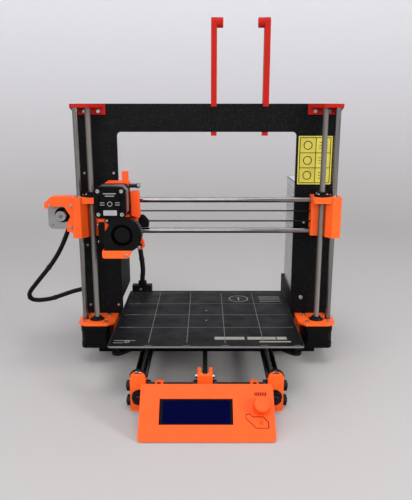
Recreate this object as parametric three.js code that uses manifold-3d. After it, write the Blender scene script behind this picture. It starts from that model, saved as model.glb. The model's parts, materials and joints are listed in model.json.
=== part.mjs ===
// Desktop 3-D printer: a single upright plate frame, a bed that slides front to back, and a gantry
// that climbs two rods and carries the extruder from side to side.
//
// Units are millimetres. X runs to the right, Y to the back and Z up. While the pieces are drawn,
// Y = 0 is the front face of the frame plate and Z = 0 is the table; the last lines move the whole
// group so that its origin lies under the middle of the machine.

import * as THREE from 'three';
import { mergeVertices } from 'three/addons/utils/BufferGeometryUtils.js';
import Module from 'manifold-3d';

const wasm = await Module();
wasm.setup();

// ---------------------------------------------------------------- driving dimensions

const GAP = 0.3; // space left between neighbouring pieces
const ROD = 4; // radius of a smooth rod, a leadscrew and an M8 threaded rod
const ROD_HOLE = ROD + GAP; // radius of the hole such a rod runs in
const M10 = 5; // radius of the long threaded rods

const PLATE = { half: 185, height: 375, thick: 6 }; // upright frame plate
const WINDOW = { half: 128.3, low: 32, high: 336, corner: 6 }; // its opening
const FOOT = { half: 168, height: 29 }; // the plate stands on its middle, narrower part

const MOTOR = { side: 42.3, chamfer: 4.5, boss: 11, bossHeight: 2, shaft: 2.5 }; // NEMA 17
const PULLEY = { radius: 6.3, flange: 7.8, halfWidth: 3.3, rim: 1 };
const BELT = { half: 3, thick: 1.4 }; // half its width, and its thickness

const Z_ROD = { x: 180, y: -25, low: 60.3, high: 371 };
const SCREW = { x: 163, y: -25, low: 62.3, high: 374.2 }; // leadscrews, in line with the Z motors
const Z_MOTOR = { low: 26, high: 60 };
const Z_SHELF = { inner: 134.5, outer: 188.5, top: 64 };
const Z_TOP = { inner: 142.5, outer: 186.3, low: 360, plateLow: 369.5, high: 374.5 };

const X_AXIS = { y: -10, upper: 240.5, lower: 195.5, half: 185, belt: 217 }; // rods and belt
const X_END = { low: 189.5, high: 247.5, inner: 150, outer: 189, column: 190, front: -18.5, back: -1.8 };
const X_MOTOR = { x: -211.7, z: 217, front: -1.5, length: 40, armLeft: -233 };
const X_IDLER = 170;

const Y_ROD = { x: 85.8, z: 48, front: -176, back: 144 };
const LONG_ROD = { x: 84, z: 19.5, front: -190, back: 170 };
const CROSS = { front: -168, back: 142, low: 9, high: 29 }; // M8 rods that join the corners
const CORNER = {
  width: 19.2, depth: 18, shoulder: 42, height: 51.5, saddle: 9, lip: 4.2, lipHeight: 48.3, front: -180, back: 130,
};
const Y_BELT = { x: -2.2, z: 41.5, front: -167.6, radius: 5.1 };
const Y_MOTOR = { y: 114, radius: 12.7, face: 10.1, length: 40 };

const BED = { x: -1, half: 126.5, front: -145.5, back: 85, low: 69, high: 72, corner: 3 };
const CARRIAGE_PLATE = { low: 57, high: 61, half: 92, front: -52, back: 28 };

const CARRIAGE = { left: -144, right: -97.5, front: -21.7, back: -1.8, low: 188, high: 250 };
const EXTRUDER = { x: -127.8, z: 247.1, back: -82, face: -42 }; // its motor
const FILAMENT = { x: -119.9, y: -34 };
const NOZZLE_TIP = 168;
const BLOWER = { x: -111.5, z: 202.9, radius: 24.2, front: -79, back: -64, hub: -113.6 };

const DISPLAY = {
  half: 79, corner: 4.5, front: -251.4, lowZ: 1.2, top: -200.5, topZ: 47.5, depth: 14, wall: 2,
};
const DISPLAY_WINDOW = { left: -55.8, right: 30.5, low: 19.8, high: 50.7 }; // low and high run up the slope
const KNOB = { x: 63.9, up: 40.6, radius: 10.2, length: 9.5 };

const SWITCH = { x: 177, y: 81, tilt: (-8 * Math.PI) / 180 }; // rocker, pressed in at one end

const COLOUR = {
  orange: { color: 0xff5a14, roughness: 0.55, metalness: 0 },
  red: { color: 0xd9321f, roughness: 0.55, metalness: 0 },
  black: { color: 0x17171a, roughness: 0.6, metalness: 0 },
  powder: { color: 0x1c1b1e, roughness: 0.7, metalness: 0.3 },
  steel: { color: 0xb9bbbe, roughness: 0.25, metalness: 1 },
  zinc: { color: 0x9a9c9f, roughness: 0.45, metalness: 1 },
  alloy: { color: 0xc4c6c8, roughness: 0.4, metalness: 1 },
  motor: { color: 0x242427, roughness: 0.5, metalness: 0.6 },
  board: { color: 0x26272a, roughness: 0.5, metalness: 0 },
  rubber: { color: 0x101012, roughness: 0.8, metalness: 0 },
};

// ---------------------------------------------------------------- shapes

const machine = new THREE.Group();

function solid(geometry) {
  const bare = geometry.index ? geometry.clone() : geometry;
  bare.deleteAttribute('normal');
  bare.deleteAttribute('uv');
  const merged = mergeVertices(bare, 1e-4);
  const vertProperties = Float32Array.from(merged.attributes.position.array);
  const triVerts = Uint32Array.from(merged.index.array);
  return new wasm.Manifold(new wasm.Mesh({ numProp: 3, vertProperties, triVerts }));
}

function surface(body) {
  const mesh = body.getMesh();
  const geometry = new THREE.BufferGeometry();
  geometry.setAttribute('position', new THREE.BufferAttribute(mesh.vertProperties, 3));
  geometry.setIndex(new THREE.BufferAttribute(mesh.triVerts, 1));
  return geometry;
}

function join(first, ...others) {
  return surface(others.reduce((body, other) => body.add(solid(other)), solid(first)));
}

function cut(first, ...tools) {
  return surface(tools.reduce((body, tool) => body.subtract(solid(tool)), solid(first)));
}

function overlap(first, second) {
  return surface(solid(first).intersect(solid(second)));
}

function add(name, finish, geometry) {
  const mesh = new THREE.Mesh(geometry, new THREE.MeshStandardMaterial(finish));
  mesh.name = name;
  machine.add(mesh);
  return mesh;
}

// A block between two corners.
function block(x0, x1, y0, y1, z0, z1) {
  const geometry = new THREE.BoxGeometry(x1 - x0, y1 - y0, z1 - z0);
  return geometry.translate((x0 + x1) / 2, (y0 + y1) / 2, (z0 + z1) / 2);
}

// A flat outline pushed along an axis. Its two coordinates are (y, z) along x, (x, z) along y
// and (x, y) along z.
function slab(axis, outline, from, to, curveSegments = 6) {
  const options = { depth: to - from, bevelEnabled: false, curveSegments };
  const geometry = new THREE.ExtrudeGeometry(outline, options);
  const turn = new THREE.Matrix4();
  if (axis === 'x') {
    turn.set(0, 0, 1, from, 1, 0, 0, 0, 0, 1, 0, 0, 0, 0, 0, 1);
  } else if (axis === 'y') {
    turn.set(1, 0, 0, 0, 0, 0, -1, to, 0, 1, 0, 0, 0, 0, 0, 1);
  } else {
    turn.makeTranslation(0, 0, from);
  }
  return geometry.applyMatrix4(turn);
}

function polygon(points) {
  return new THREE.Shape(points.map(([u, v]) => new THREE.Vector2(u, v)));
}

function rounded(u0, u1, v0, v1, r) {
  const shape = new THREE.Shape();
  shape.absarc(u1 - r, v0 + r, r, -Math.PI / 2, 0);
  shape.absarc(u1 - r, v1 - r, r, 0, Math.PI / 2);
  shape.absarc(u0 + r, v1 - r, r, Math.PI / 2, Math.PI);
  shape.absarc(u0 + r, v0 + r, r, Math.PI, Math.PI * 1.5);
  shape.closePath();
  return shape;
}

// A shape with two round ends, as a belt makes round two equal pulleys.
function stadium(u0, u1, v, r) {
  const shape = new THREE.Shape();
  shape.absarc(u1, v, r, -Math.PI / 2, Math.PI / 2);
  shape.absarc(u0, v, r, Math.PI / 2, Math.PI * 1.5);
  shape.closePath();
  return shape;
}

// The same round two unequal pulleys, the first at the low end of u.
function unequalLoop(u0, v0, r0, u1, v1, r1) {
  const along = Math.atan2(v1 - v0, u1 - u0);
  const lean = Math.acos((r0 - r1) / Math.hypot(u1 - u0, v1 - v0));
  const shape = new THREE.Shape();
  shape.absarc(u1, v1, r1, along - lean, along + lean);
  shape.absarc(u0, v0, r0, along + lean, along - lean + Math.PI * 2);
  shape.closePath();
  return shape;
}

function circle(u, v, r) {
  const shape = new THREE.Shape();
  shape.absarc(u, v, r, 0, Math.PI * 2);
  return shape;
}

// A round bar along an axis; u and v are its place in the other two, in the order slab uses.
function bar(axis, u, v, r, from, to, sides = 24) {
  return slab(axis, circle(u, v, r), from, to, sides / 2);
}

// A turned piece: rows of (radius, place along the axis).
function turned(axis, u, v, profile, sides = 20) {
  const points = profile.map(([r, t]) => new THREE.Vector2(r, t));
  const geometry = new THREE.LatheGeometry(points, sides);
  const turn = new THREE.Matrix4();
  if (axis === 'x') {
    turn.set(0, 1, 0, 0, 0, 0, 1, u, 1, 0, 0, v, 0, 0, 0, 1);
  } else if (axis === 'y') {
    turn.set(1, 0, 0, u, 0, 1, 0, 0, 0, 0, 1, v, 0, 0, 0, 1);
  } else {
    turn.set(1, 0, 0, u, 0, 0, -1, v, 0, 1, 0, 0, 0, 0, 0, 1);
  }
  return geometry.applyMatrix4(turn);
}

function mirrored(points, side) {
  const list = points.map(([u, v]) => [u * side, v]);
  return side < 0 ? list.reverse() : list;
}

// ---------------------------------------------------------------- shared pieces

// A square stepper body with a round boss on its face; along says which way the shaft points.
function stepper(axis, u, v, tail, face, along) {
  const h = MOTOR.side / 2;
  const c = h - MOTOR.chamfer;
  const outline = polygon([
    [u + c, v - h],
    [u + h, v - c],
    [u + h, v + c],
    [u + c, v + h],
    [u - c, v + h],
    [u - h, v + c],
    [u - h, v - c],
    [u - c, v - h],
  ]);
  const body = slab(axis, outline, Math.min(tail, face), Math.max(tail, face));
  const tip = face + along * MOTOR.bossHeight;
  const root = face - along;
  return join(body, bar(axis, u, v, MOTOR.boss, Math.min(root, tip), Math.max(root, tip)));
}

// A toothed pulley on its shaft. from and to are the ends of the shaft.
function pulley(axis, u, v, middle, radius, from, to) {
  const inner = PULLEY.halfWidth;
  const outer = inner + PULLEY.rim;
  const flange = radius + PULLEY.flange - PULLEY.radius;
  const profile = [
    [0, from],
    [MOTOR.shaft, from],
    [MOTOR.shaft, middle - outer],
    [flange, middle - outer],
    [flange, middle - inner],
    [radius, middle - inner],
    [radius, middle + inner],
    [flange, middle + inner],
    [flange, middle + outer],
    [MOTOR.shaft, middle + outer],
    [MOTOR.shaft, to],
    [0, to],
  ];
  return turned(axis, u, v, profile);
}

// A closed belt round two equal pulleys.
function belt(axis, u0, u1, v, radius, middle) {
  const outline = stadium(u0, u1, v, radius + GAP + BELT.thick);
  outline.holes.push(stadium(u0, u1, v, radius + GAP));
  return slab(axis, outline, middle - BELT.half, middle + BELT.half, 10);
}

// ---------------------------------------------------------------- frame and feet

function framePlate() {
  const outline = polygon([
    [-FOOT.half, 0],
    [FOOT.half, 0],
    [FOOT.half, FOOT.height],
    [PLATE.half, FOOT.height],
    [PLATE.half, PLATE.height],
    [-PLATE.half, PLATE.height],
    [-PLATE.half, FOOT.height],
    [-FOOT.half, FOOT.height],
  ]);
  outline.holes.push(rounded(-WINDOW.half, WINDOW.half, WINDOW.low, WINDOW.high, WINDOW.corner));
  for (const side of [-1, 1]) {
    outline.holes.push(circle(side * LONG_ROD.x, LONG_ROD.z, M10 + GAP));
  }
  const beltNotch = block(Y_BELT.x - 6, Y_BELT.x + 6, -1, PLATE.thick + 1, 20, WINDOW.low + 1);
  add('frame_plate', COLOUR.powder, cut(slab('y', outline, 0, PLATE.thick), beltNotch));
}

// The four blocks that hold the ends of the Y rods and clamp the long threaded rods. At the machine's
// outer end each has an arched saddle for its rod, and a lower lip that stops the rod's end.
function corners() {
  const half = CORNER.width / 2;
  const { shoulder, height, saddle, lip, lipHeight } = CORNER;
  for (const [end, front] of [['front', CORNER.front], ['rear', CORNER.back]]) {
    for (const [side, sign] of [['left', -1], ['right', 1]]) {
      const x = sign * Y_ROD.x;
      const back = front + CORNER.depth;
      const cross = end === 'front' ? CROSS.front : CROSS.back;
      const seatFront = Math.max(front - 1, Y_ROD.front - GAP);
      const seatBack = Math.min(back + 1, Y_ROD.back + GAP);
      const archFront = end === 'front' ? front + lip : back - saddle;
      const lipFront = end === 'front' ? front : back - lip;
      const body = block(x - half, x + half, front, back, 0, shoulder);
      const arch = new THREE.Shape();
      arch.moveTo(x - half, shoulder - 1);
      arch.lineTo(x + half, shoulder - 1);
      arch.lineTo(x + half, shoulder + 1.5);
      arch.absellipse(x, shoulder + 1.5, half, height - shoulder - 1.5, 0, Math.PI);
      arch.closePath();
      const across = [CROSS.low, CROSS.high].map((z) =>
        bar('x', cross, z, ROD_HOLE, x - CORNER.width, x + CORNER.width, 12));
      const seat = bar('y', x, Y_ROD.z, ROD_HOLE, seatFront, seatBack, 16);
      const clamp = bar('y', sign * LONG_ROD.x, LONG_ROD.z, M10 + GAP, front - 1, back + 1, 16);
      const stopOutline = rounded(x - half, x + half, shoulder - 12, lipHeight, 4);
      const stop = slab('y', stopOutline, lipFront, lipFront + lip, 3);
      const whole = join(body, stop, slab('y', arch, archFront, archFront + saddle - lip));
      add(`y_corner_${end}_${side}`, COLOUR.orange, cut(whole, seat, clamp, ...across));
    }
  }
}

function yRods() {
  for (const [side, sign] of [['left', -1], ['right', 1]]) {
    const smooth = bar('y', sign * Y_ROD.x, Y_ROD.z, ROD, Y_ROD.front, Y_ROD.back);
    add(`y_smooth_rod_${side}`, COLOUR.steel, smooth);
    const long = bar('y', sign * LONG_ROD.x, LONG_ROD.z, M10, LONG_ROD.front, LONG_ROD.back);
    add(`frame_rod_${side}`, COLOUR.zinc, long);
  }
}

// Fork for the belt's front pulley, clamped between nuts on the two front cross rods.
function yIdler() {
  const { x, z, front, radius } = Y_BELT;
  const half = 9.5;
  const slotHalf = 4.8;
  const body = block(x - half, x + half, -180, -157, 3, 48.5);
  const slot = block(x - slotHalf, x + slotHalf, -175.3, -156, 34, 49.5);
  const across = [CROSS.low, CROSS.high].map((height) =>
    bar('x', CROSS.front, height, ROD_HOLE, x - half - 1, x + half + 1, 12));
  add('y_idler_holder', COLOUR.orange, cut(body, slot, ...across));
  add('y_idler_pulley', COLOUR.alloy, pulley('x', front, z, x, radius, x - 4.5, x + 4.5));
}

// The motor's larger pulley has its axle lower, so that the belt's upper run is level.
function yMotor() {
  const { x } = Y_BELT;
  const { y, radius, face } = Y_MOTOR;
  const z = Y_BELT.z + Y_BELT.radius - radius;
  const outline = polygon([
    [91.5, 14],
    [104, 3],
    [152, 3],
    [152, 37],
    [135, 54.5],
    [91.5, 54.5],
  ]);
  outline.holes.push(circle(y, z, MOTOR.boss + GAP));
  for (const height of [CROSS.low, CROSS.high]) {
    outline.holes.push(circle(CROSS.back, height, ROD_HOLE));
  }
  const plateThick = 6;
  add('y_motor_holder', COLOUR.orange, slab('x', outline, face - GAP - plateThick, face - GAP, 8));
  add('y_motor', COLOUR.motor, stepper('x', y, z, face + Y_MOTOR.length, face, -1));
  const shaftEnd = face - MOTOR.bossHeight - GAP;
  add('y_motor_pulley', COLOUR.alloy, pulley('x', y, z, x, radius, x - 4.9, shaftEnd));
  const inner = unequalLoop(Y_BELT.front, Y_BELT.z, Y_BELT.radius + GAP, y, z, radius + GAP);
  const thick = BELT.thick;
  const outer = unequalLoop(
    Y_BELT.front, Y_BELT.z, Y_BELT.radius + GAP + thick, y, z, radius + GAP + thick);
  outer.holes.push(inner);
  add('y_belt', COLOUR.rubber, slab('x', outer, x - BELT.half, x + BELT.half, 10));
}

// ---------------------------------------------------------------- Z drives

// Bracket that stands on each Z motor and screws to the frame plate.
function zBottom(side, sign) {
  const { inner, outer, top } = Z_SHELF;
  const front = -47;
  const back = -GAP;
  const low = Z_MOTOR.high + GAP;
  const points = [
    [inner, back],
    [inner, front + 10],
    [inner + 10, front],
    [outer - 12, front],
    [outer - 3.5, front + 3.5],
    [outer, front + 12],
    [outer, back],
  ];
  const shelf = slab('z', polygon(mirrored(points, sign)), low, top);
  const xs = [sign * inner, sign * outer].sort((a, b) => a - b);
  const wall = block(xs[0], xs[1], -3.4, back, 30, top);
  const well = bar('z', sign * SCREW.x, SCREW.y, MOTOR.boss + GAP, low - 1, top + 1, 20);
  const rodHole = bar('z', sign * Z_ROD.x, Z_ROD.y, ROD_HOLE, low - 1, top + 1, 16);
  add(`z_bottom_${side}`, COLOUR.orange, cut(join(shelf, wall), well, rodHole));
}

// Cap that holds the top of each Z rod.
function zTop(side, sign) {
  const { inner, outer, low, plateLow, high } = Z_TOP;
  const points = [
    [inner, -GAP],
    [160, -35],
    [outer - 4, -35],
    [outer, -31],
    [outer, -GAP],
  ];
  const plate = slab('z', polygon(mirrored(points, sign)), plateLow, high);
  const xs = [sign * inner, sign * outer].sort((a, b) => a - b);
  const wall = block(xs[0], xs[1], -4, -GAP, low, high);
  const cheekX = [sign * (outer - 3), sign * outer].sort((a, b) => a - b);
  const cheek = slab('x', polygon([[-GAP, low], [-GAP, high], [-30, high], [-30, plateLow]]), ...cheekX);
  const seat = bar('z', sign * Z_ROD.x, Z_ROD.y, ROD_HOLE, low, Z_ROD.high + GAP, 16);
  const screwHole = bar('z', sign * SCREW.x, SCREW.y, ROD + 1, plateLow - 1, high + 1, 16);
  add(`z_top_${side}`, COLOUR.red, cut(join(plate, wall, cheek), seat, screwHole));
}

function zDrives() {
  for (const [side, sign] of [['left', -1], ['right', 1]]) {
    zBottom(side, sign);
    const x = sign * SCREW.x;
    add(`z_motor_${side}`, COLOUR.motor, stepper('z', x, SCREW.y, Z_MOTOR.low, Z_MOTOR.high, 1));
    add(`leadscrew_${side}`, COLOUR.steel, bar('z', x, SCREW.y, ROD, SCREW.low, SCREW.high));
    const rod = bar('z', sign * Z_ROD.x, Z_ROD.y, ROD, Z_ROD.low, Z_ROD.high);
    add(`z_smooth_rod_${side}`, COLOUR.steel, rod);
    zTop(side, sign);
  }
}

// ---------------------------------------------------------------- gantry

// What both gantry ends share: the block that holds the X rods, the bearing column that rides on
// the Z rod, the arm that carries the leadscrew nut, and the tunnel the belt runs through.
function xEndBody(sign, extra) {
  const { low, high, inner, outer, front, back } = X_END;
  const xs = [sign * inner, sign * outer].sort((a, b) => a - b);
  const body = block(xs[0], xs[1], front, back, low, high);
  const column = slab('z', polygon(mirrored([
    [169, front + 2],
    [169, -28],
    [177, -37],
    [187, -37],
    [X_END.column, -33],
    [X_END.column, front + 2],
  ], sign)), low, high);
  const armPoints = [
    [inner, front + 2],
    [inner, -32],
    [153, -35],
    [175, -35],
    [175, front + 2],
  ];
  const arm = slab('z', polygon(mirrored(armPoints, sign)), 238.5, high);
  const tunnelXs = [sign * (inner - 1), sign * 205].sort((a, b) => a - b);
  const tunnel = block(tunnelXs[0], tunnelXs[1], -15, -5, 207, 227);
  const rodXs = [sign * (inner - 1), sign * (X_AXIS.half + GAP)].sort((a, b) => a - b);
  const rods = [X_AXIS.upper, X_AXIS.lower].map((z) =>
    bar('x', X_AXIS.y, z, ROD_HOLE, rodXs[0], rodXs[1], 16));
  const guide = bar('z', sign * Z_ROD.x, Z_ROD.y, ROD_HOLE, low - 1, high + 1, 16);
  const nut = bar('z', sign * SCREW.x, SCREW.y, 5.4, 230, high + 1, 16);
  return cut(join(body, column, arm, ...extra), tunnel, guide, nut, ...rods);
}

// Hook-shaped plate in front of the X motor, open on its lower left.
function motorArm() {
  const points = [
    [-188, 246.2],
    [-222.3, 246.2],
    [X_MOTOR.armLeft, 236.8],
    [X_MOTOR.armLeft, 228.9],
    [-222.5, 229.5],
    [-219, 232],
    [-204.7, 232],
    [-196, 217.5],
    [-202.1, 206],
    [-202.1, 195.7],
    [-194, 193.2],
    [-188, 189.5],
  ];
  return slab('y', polygon(points), X_END.front, X_END.back);
}

function xEnds() {
  add('x_end_left', COLOUR.orange, xEndBody(-1, [motorArm()]));
  const notch = block(X_END.inner - 1, X_END.inner + 10, -17, -4, 200.3, 218.5);
  add('x_end_right', COLOUR.orange, cut(xEndBody(1, []), notch));
}

function xDrive() {
  const { x, z, front, length } = X_MOTOR;
  const y = X_AXIS.y;
  add('x_motor', COLOUR.motor, stepper('y', x, z, front + length, front, -1));
  const shaftEnd = front - MOTOR.bossHeight - GAP;
  add('x_motor_pulley', COLOUR.alloy, pulley('y', x, z, y, PULLEY.radius, y - 7, shaftEnd));
  add('x_idler_pulley', COLOUR.alloy, pulley('y', X_IDLER, z, y, PULLEY.radius, y - 4.8, y + 4.8));
  add('x_belt', COLOUR.rubber, belt('y', x, X_IDLER, z, PULLEY.radius, y));
  for (const [name, height] of [['upper', X_AXIS.upper], ['lower', X_AXIS.lower]]) {
    const rod = bar('x', y, height, ROD, -X_AXIS.half, X_AXIS.half);
    add(`x_smooth_rod_${name}`, COLOUR.steel, rod);
  }
}

// ---------------------------------------------------------------- extruder carriage

function xCarriage() {
  const { left, right, front, back, low, high } = CARRIAGE;
  const body = block(left, right, front, back, low, high);
  const holderPoints = [
    [right - 3, 218],
    [right - 3, 201],
    [-84.5, 201],
    [-84, 209],
    [-88, 214],
    [-92, 218],
  ];
  const holder = slab('y', polygon(holderPoints), -16.5, -4.5);
  const tunnel = block(left - 1, -80, -14, -6, 207.3, 226.7);
  const rods = [X_AXIS.upper, X_AXIS.lower].map((z) =>
    bar('x', X_AXIS.y, z, ROD_HOLE, left - 1, right + 1, 16));
  add('x_carriage', COLOUR.black, cut(join(body, holder), tunnel, ...rods));
}

function extruderMotor() {
  const { x, z, back, face } = EXTRUDER;
  add('extruder_motor', COLOUR.motor, stepper('y', x, z, back, face, 1));
  const gearLow = face + MOTOR.bossHeight + GAP;
  const profile = [
    [0, gearLow],
    [MOTOR.shaft, gearLow],
    [MOTOR.shaft, FILAMENT.y - 4.8],
    [6, FILAMENT.y - 4.8],
    [6, FILAMENT.y - 1.5],
    [5.4, FILAMENT.y],
    [6, FILAMENT.y + 1.5],
    [6, FILAMENT.y + 4.8],
    [0, FILAMENT.y + 4.8],
  ];
  add('drive_gear', COLOUR.steel, turned('y', x, z, profile, 16));
  const bearingX = x + 6 + 1.75 + 6.5;
  const ring = [
    [2.2, FILAMENT.y - 2.5],
    [6.5, FILAMENT.y - 2.5],
    [6.5, FILAMENT.y + 2.5],
    [2.2, FILAMENT.y + 2.5],
    [2.2, FILAMENT.y - 2.5],
  ];
  add('idler_bearing', COLOUR.steel, turned('y', bearingX, z, ring, 16));
}

// The printed body between the motor and the carriage: the filament path, the pocket for the drive
// gear, the hood round the hot end, and the lug that holds the blower's lower ear.
function extruderBody() {
  const front = EXTRUDER.face + GAP;
  const back = CARRIAGE.front - GAP;
  const x = FILAMENT.x;
  const y = FILAMENT.y;
  const main = slab('y', polygon([
    [-144.1, 217],
    [-108.1, 217],
    [-108.1, 270],
    [-138.5, 270],
    [-144.1, 266],
  ]), front, back);
  const tab = block(-117.3, -109.4, -38, -27, 268, 284);
  const hood = block(-140, -98, -58, back, 186, 218.6);
  const fanFlange = block(-151, -139, -49.5, back, 215.3, 220);
  const lug = slab('y', polygon([[-99, 181], [-92, 178], [-86, 182], [-88, 192], [-99, 200]]), -58, -50);
  const pocket = block(x - 15.5, -107.1, -40.4, -24, 238, 256.5);
  const boss = bar('y', EXTRUDER.x, EXTRUDER.z, MOTOR.boss + GAP, front - 1, -38.5, 20);
  const bore = bar('z', x, y, 1.2, 221, 270, 6);
  const well = bar('z', x, y, 11.6, 185, 220, 20);
  const intake = block(-141, x, -46, -25, 188, 214);
  const exhaust = block(x, -97, -43, -26, 190, 212);
  const doorSlot = block(-114.1, -107.1, front - 1, back - 2, 224, 260);
  const whole = join(main, tab, hood, fanFlange, lug);
  add('extruder_body', COLOUR.orange, cut(whole, pocket, boss, bore, well, intake, exhaust, doorSlot));
}

// The sprung door that presses the idler bearing against the filament; it hinges at its foot.
function idlerDoor() {
  const front = EXTRUDER.face + GAP;
  const back = -24.6;
  const panel = slab('y', polygon([
    [-105.1, 223],
    [-94.6, 219.5],
    [-93.4, 224],
    [-94.6, 239],
    [-94.6, 255],
    [-96, 256.5],
    [-105.6, 256.5],
  ]), front, back);
  const z = EXTRUDER.z;
  const cheekOutline = polygon([[-114.5, z - 2], [-106.1, z - 7], [-104.1, z - 7], [-104.1, z + 7], [-106.1, z + 7]]);
  const cheeks = [slab('y', cheekOutline, -39.8, -36.9), slab('y', cheekOutline, -31.1, -28.2)];
  const pin = bar('y', EXTRUDER.x + 14.25, z, 1.8, -39.8, -28.2, 12);
  add('idler_door', COLOUR.orange, join(panel, ...cheeks, pin));
}

function hotend() {
  const tip = NOZZLE_TIP;
  const sink = turned('z', FILAMENT.x, FILAMENT.y, [
    [0, tip],
    [0.8, tip],
    [3.4, tip + 3],
    [3.4, tip + 8],
    [1.6, tip + 8],
    [1.6, tip + 20],
    [11.2, tip + 20],
    [11.2, tip + 46],
    [6, tip + 46],
    [6, tip + 51.7],
    [0, tip + 51.7],
  ], 16);
  const x = FILAMENT.x;
  const y = FILAMENT.y;
  const heater = block(x - 8, x + 8, y - 9, y + 11, tip + 3, tip + 14.5);
  add('hotend', COLOUR.alloy, join(sink, heater));
}

// A square fan: frame with a round duct, and its rotor.
function hotendFan() {
  const y = -37.2;
  const z = 199.3;
  const half = 15;
  const left = -150.5;
  const right = left + 10;
  const outline = rounded(y - half, y + half, z - half, z + half, 2.5);
  outline.holes.push(circle(y, z, 13.6));
  const spokes = [0, 1].map((turn) => (turn ? block(right - 1.6, right, y - 14, y + 14, z - 1, z + 1)
    : block(right - 1.6, right, y - 1, y + 1, z - 14, z + 14)));
  const seat = bar('x', y, z, 6.5, right - 1.6, right, 16);
  add('hotend_fan', COLOUR.black, join(slab('x', outline, left, right, 5), ...spokes, seat));
  const hub = bar('x', y, z, 6.6, left + 0.6, right - 2, 16);
  const blades = [0, 1, 2].map((step) => {
    const blade = block(left + 1.4, right - 2.6, -12.8, 12.8, -0.7, 0.7);
    return blade.rotateX((step * Math.PI) / 3).translate(0, y, z);
  });
  add('hotend_fan_rotor', COLOUR.black, join(hub, ...blades));
}

// Blower: a flat housing with a square outlet at its lower left and a round intake in front.
function blower() {
  const { x, z, radius, front, back, hub } = BLOWER;
  const low = 182;
  const high = 225.4;
  const left = -138.6;
  const outletRight = -117;
  const volute = slab('y', circle(x, z, radius), front, back, 18);
  const duct = slab('y', polygon([
    [left, low],
    [x, low],
    [x, high],
    [-129, high],
    [-131, 216],
    [left, 205.5],
  ]), front, back);
  const limits = block(left - 1, x + radius + 1, front - 1, back + 1, low, high);
  const ears = [[-134.6, 221.4], [-92.1, 185.7]].map(([u, v]) =>
    slab('y', circle(u, v, 4), back - 5, back, 3));
  const bridges = [
    [[-95, 182.5], [-90, 186], [-97, 195], [-104, 188]],
    [[-137, 219], [-128, 212], [-128, 224], [-134, 225]],
  ].map((points) => slab('y', polygon(points), back - 5, back));
  const shell = join(overlap(join(volute, duct), limits), ...ears, ...bridges);
  const wall = 1.6;
  const room = slab('y', circle(x, z, radius - wall), front + wall, back - wall, 18);
  const roomLimits = block(left, x + radius, front, back, low + wall, high - wall);
  const outlet = block(left + wall, outletRight, front + wall, back - wall, low - 1, 203);
  const intake = bar('y', hub, z, 15, front - 1, front + 4);
  add('print_fan', COLOUR.black, cut(shell, overlap(room, roomLimits), outlet, intake));
  const wheel = turned('y', hub, z, [
    [0, front + wall + 0.4],
    [10, front + wall + 0.4],
    [10, back - wall - 2.4],
    [14, back - wall - 2.4],
    [14, front + wall + 0.8],
    [18, front + wall + 0.8],
    [18, back - wall - 0.6],
    [0, back - wall - 0.6],
  ], 20);
  add('print_fan_rotor', COLOUR.black, wheel);
}

// Duct that turns the blower's air in under the nozzle.
function fanNozzle() {
  const top = 182 - GAP;
  const low = 171;
  const outer = slab('y', polygon([
    [-141.2, top],
    [-141.2, 173],
    [-139.5, low],
    [-106, low],
    [-102.1, 178],
    [-103, top],
  ]), -80, -46);
  const throat = block(-137, -118.6, -77.4, -66, 174, top + 1);
  const channel = block(-137, -118.6, -68, -45, 173, 179);
  add('fan_nozzle', COLOUR.orange, cut(outer, throat, channel));
}

// ---------------------------------------------------------------- bed

// The plate under the bed: three bearings on the Y rods, four arms and their spacers.
function yCarriage() {
  const { low, high, half, front, back } = CARRIAGE_PLATE;
  const middle = (BED.front + BED.back) / 2;
  const corner = { x: 116, y: 104 };
  const tips = [[-1, -1], [1, -1], [1, 1], [-1, 1]];
  const plate = slab('z', rounded(-half, half, front, back, 8), low, high, 3);
  const arms = tips.map(([sx, sy]) => {
    const length = 118;
    const arm = stadium(-length, 0, 0, 8);
    const turn = Math.atan2(sy * 62, sx * 56);
    const geometry = slab('z', arm, low, high, 5);
    return geometry.rotateZ(turn).translate(sx * corner.x, middle + sy * corner.y, 0);
  });
  const spacers = tips.map(([sx, sy]) =>
    bar('z', sx * corner.x, middle + sy * corner.y, 3, high - 1, BED.low - GAP, 12));
  const saddles = [];
  const bores = [];
  for (const [side, from] of [[-1, -49], [-1, 1], [1, -24]]) {
    const x = side * Y_ROD.x;
    saddles.push(bar('y', x, Y_ROD.z, 7.5, from, from + 24, 20));
    saddles.push(block(x - 6, x + 6, from, from + 24, Y_ROD.z + 4, low + 1));
    bores.push(bar('y', x, Y_ROD.z, ROD_HOLE, from - 1, from + 25, 16));
  }
  add('y_carriage', COLOUR.powder, cut(join(plate, ...arms, ...spacers, ...saddles), ...bores));
}

function bed() {
  const outline = rounded(BED.x - BED.half, BED.x + BED.half, BED.front, BED.back, BED.corner);
  add('heated_bed', COLOUR.board, slab('z', outline, BED.low, BED.high, 3));
  const clampBack = 101;
  const clampLow = 66;
  const clampHigh = 80.8;
  const profile = polygon([
    [78, clampLow],
    [clampBack, clampLow],
    [clampBack, clampHigh - 3],
    [clampBack - 3, clampHigh],
    [BED.back + GAP, clampHigh],
    [BED.back + GAP, BED.low - GAP],
    [78, BED.low - GAP],
  ]);
  const boss = bar('z', BED_CABLE[0][0], BED_CABLE[0][1], 7, 75, BED_CABLE[0][2] - GAP, 16);
  add('bed_cable_clamp', COLOUR.black, join(slab('x', profile, -124.5, -92.3), boss));
}

// ---------------------------------------------------------------- cables

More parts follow.
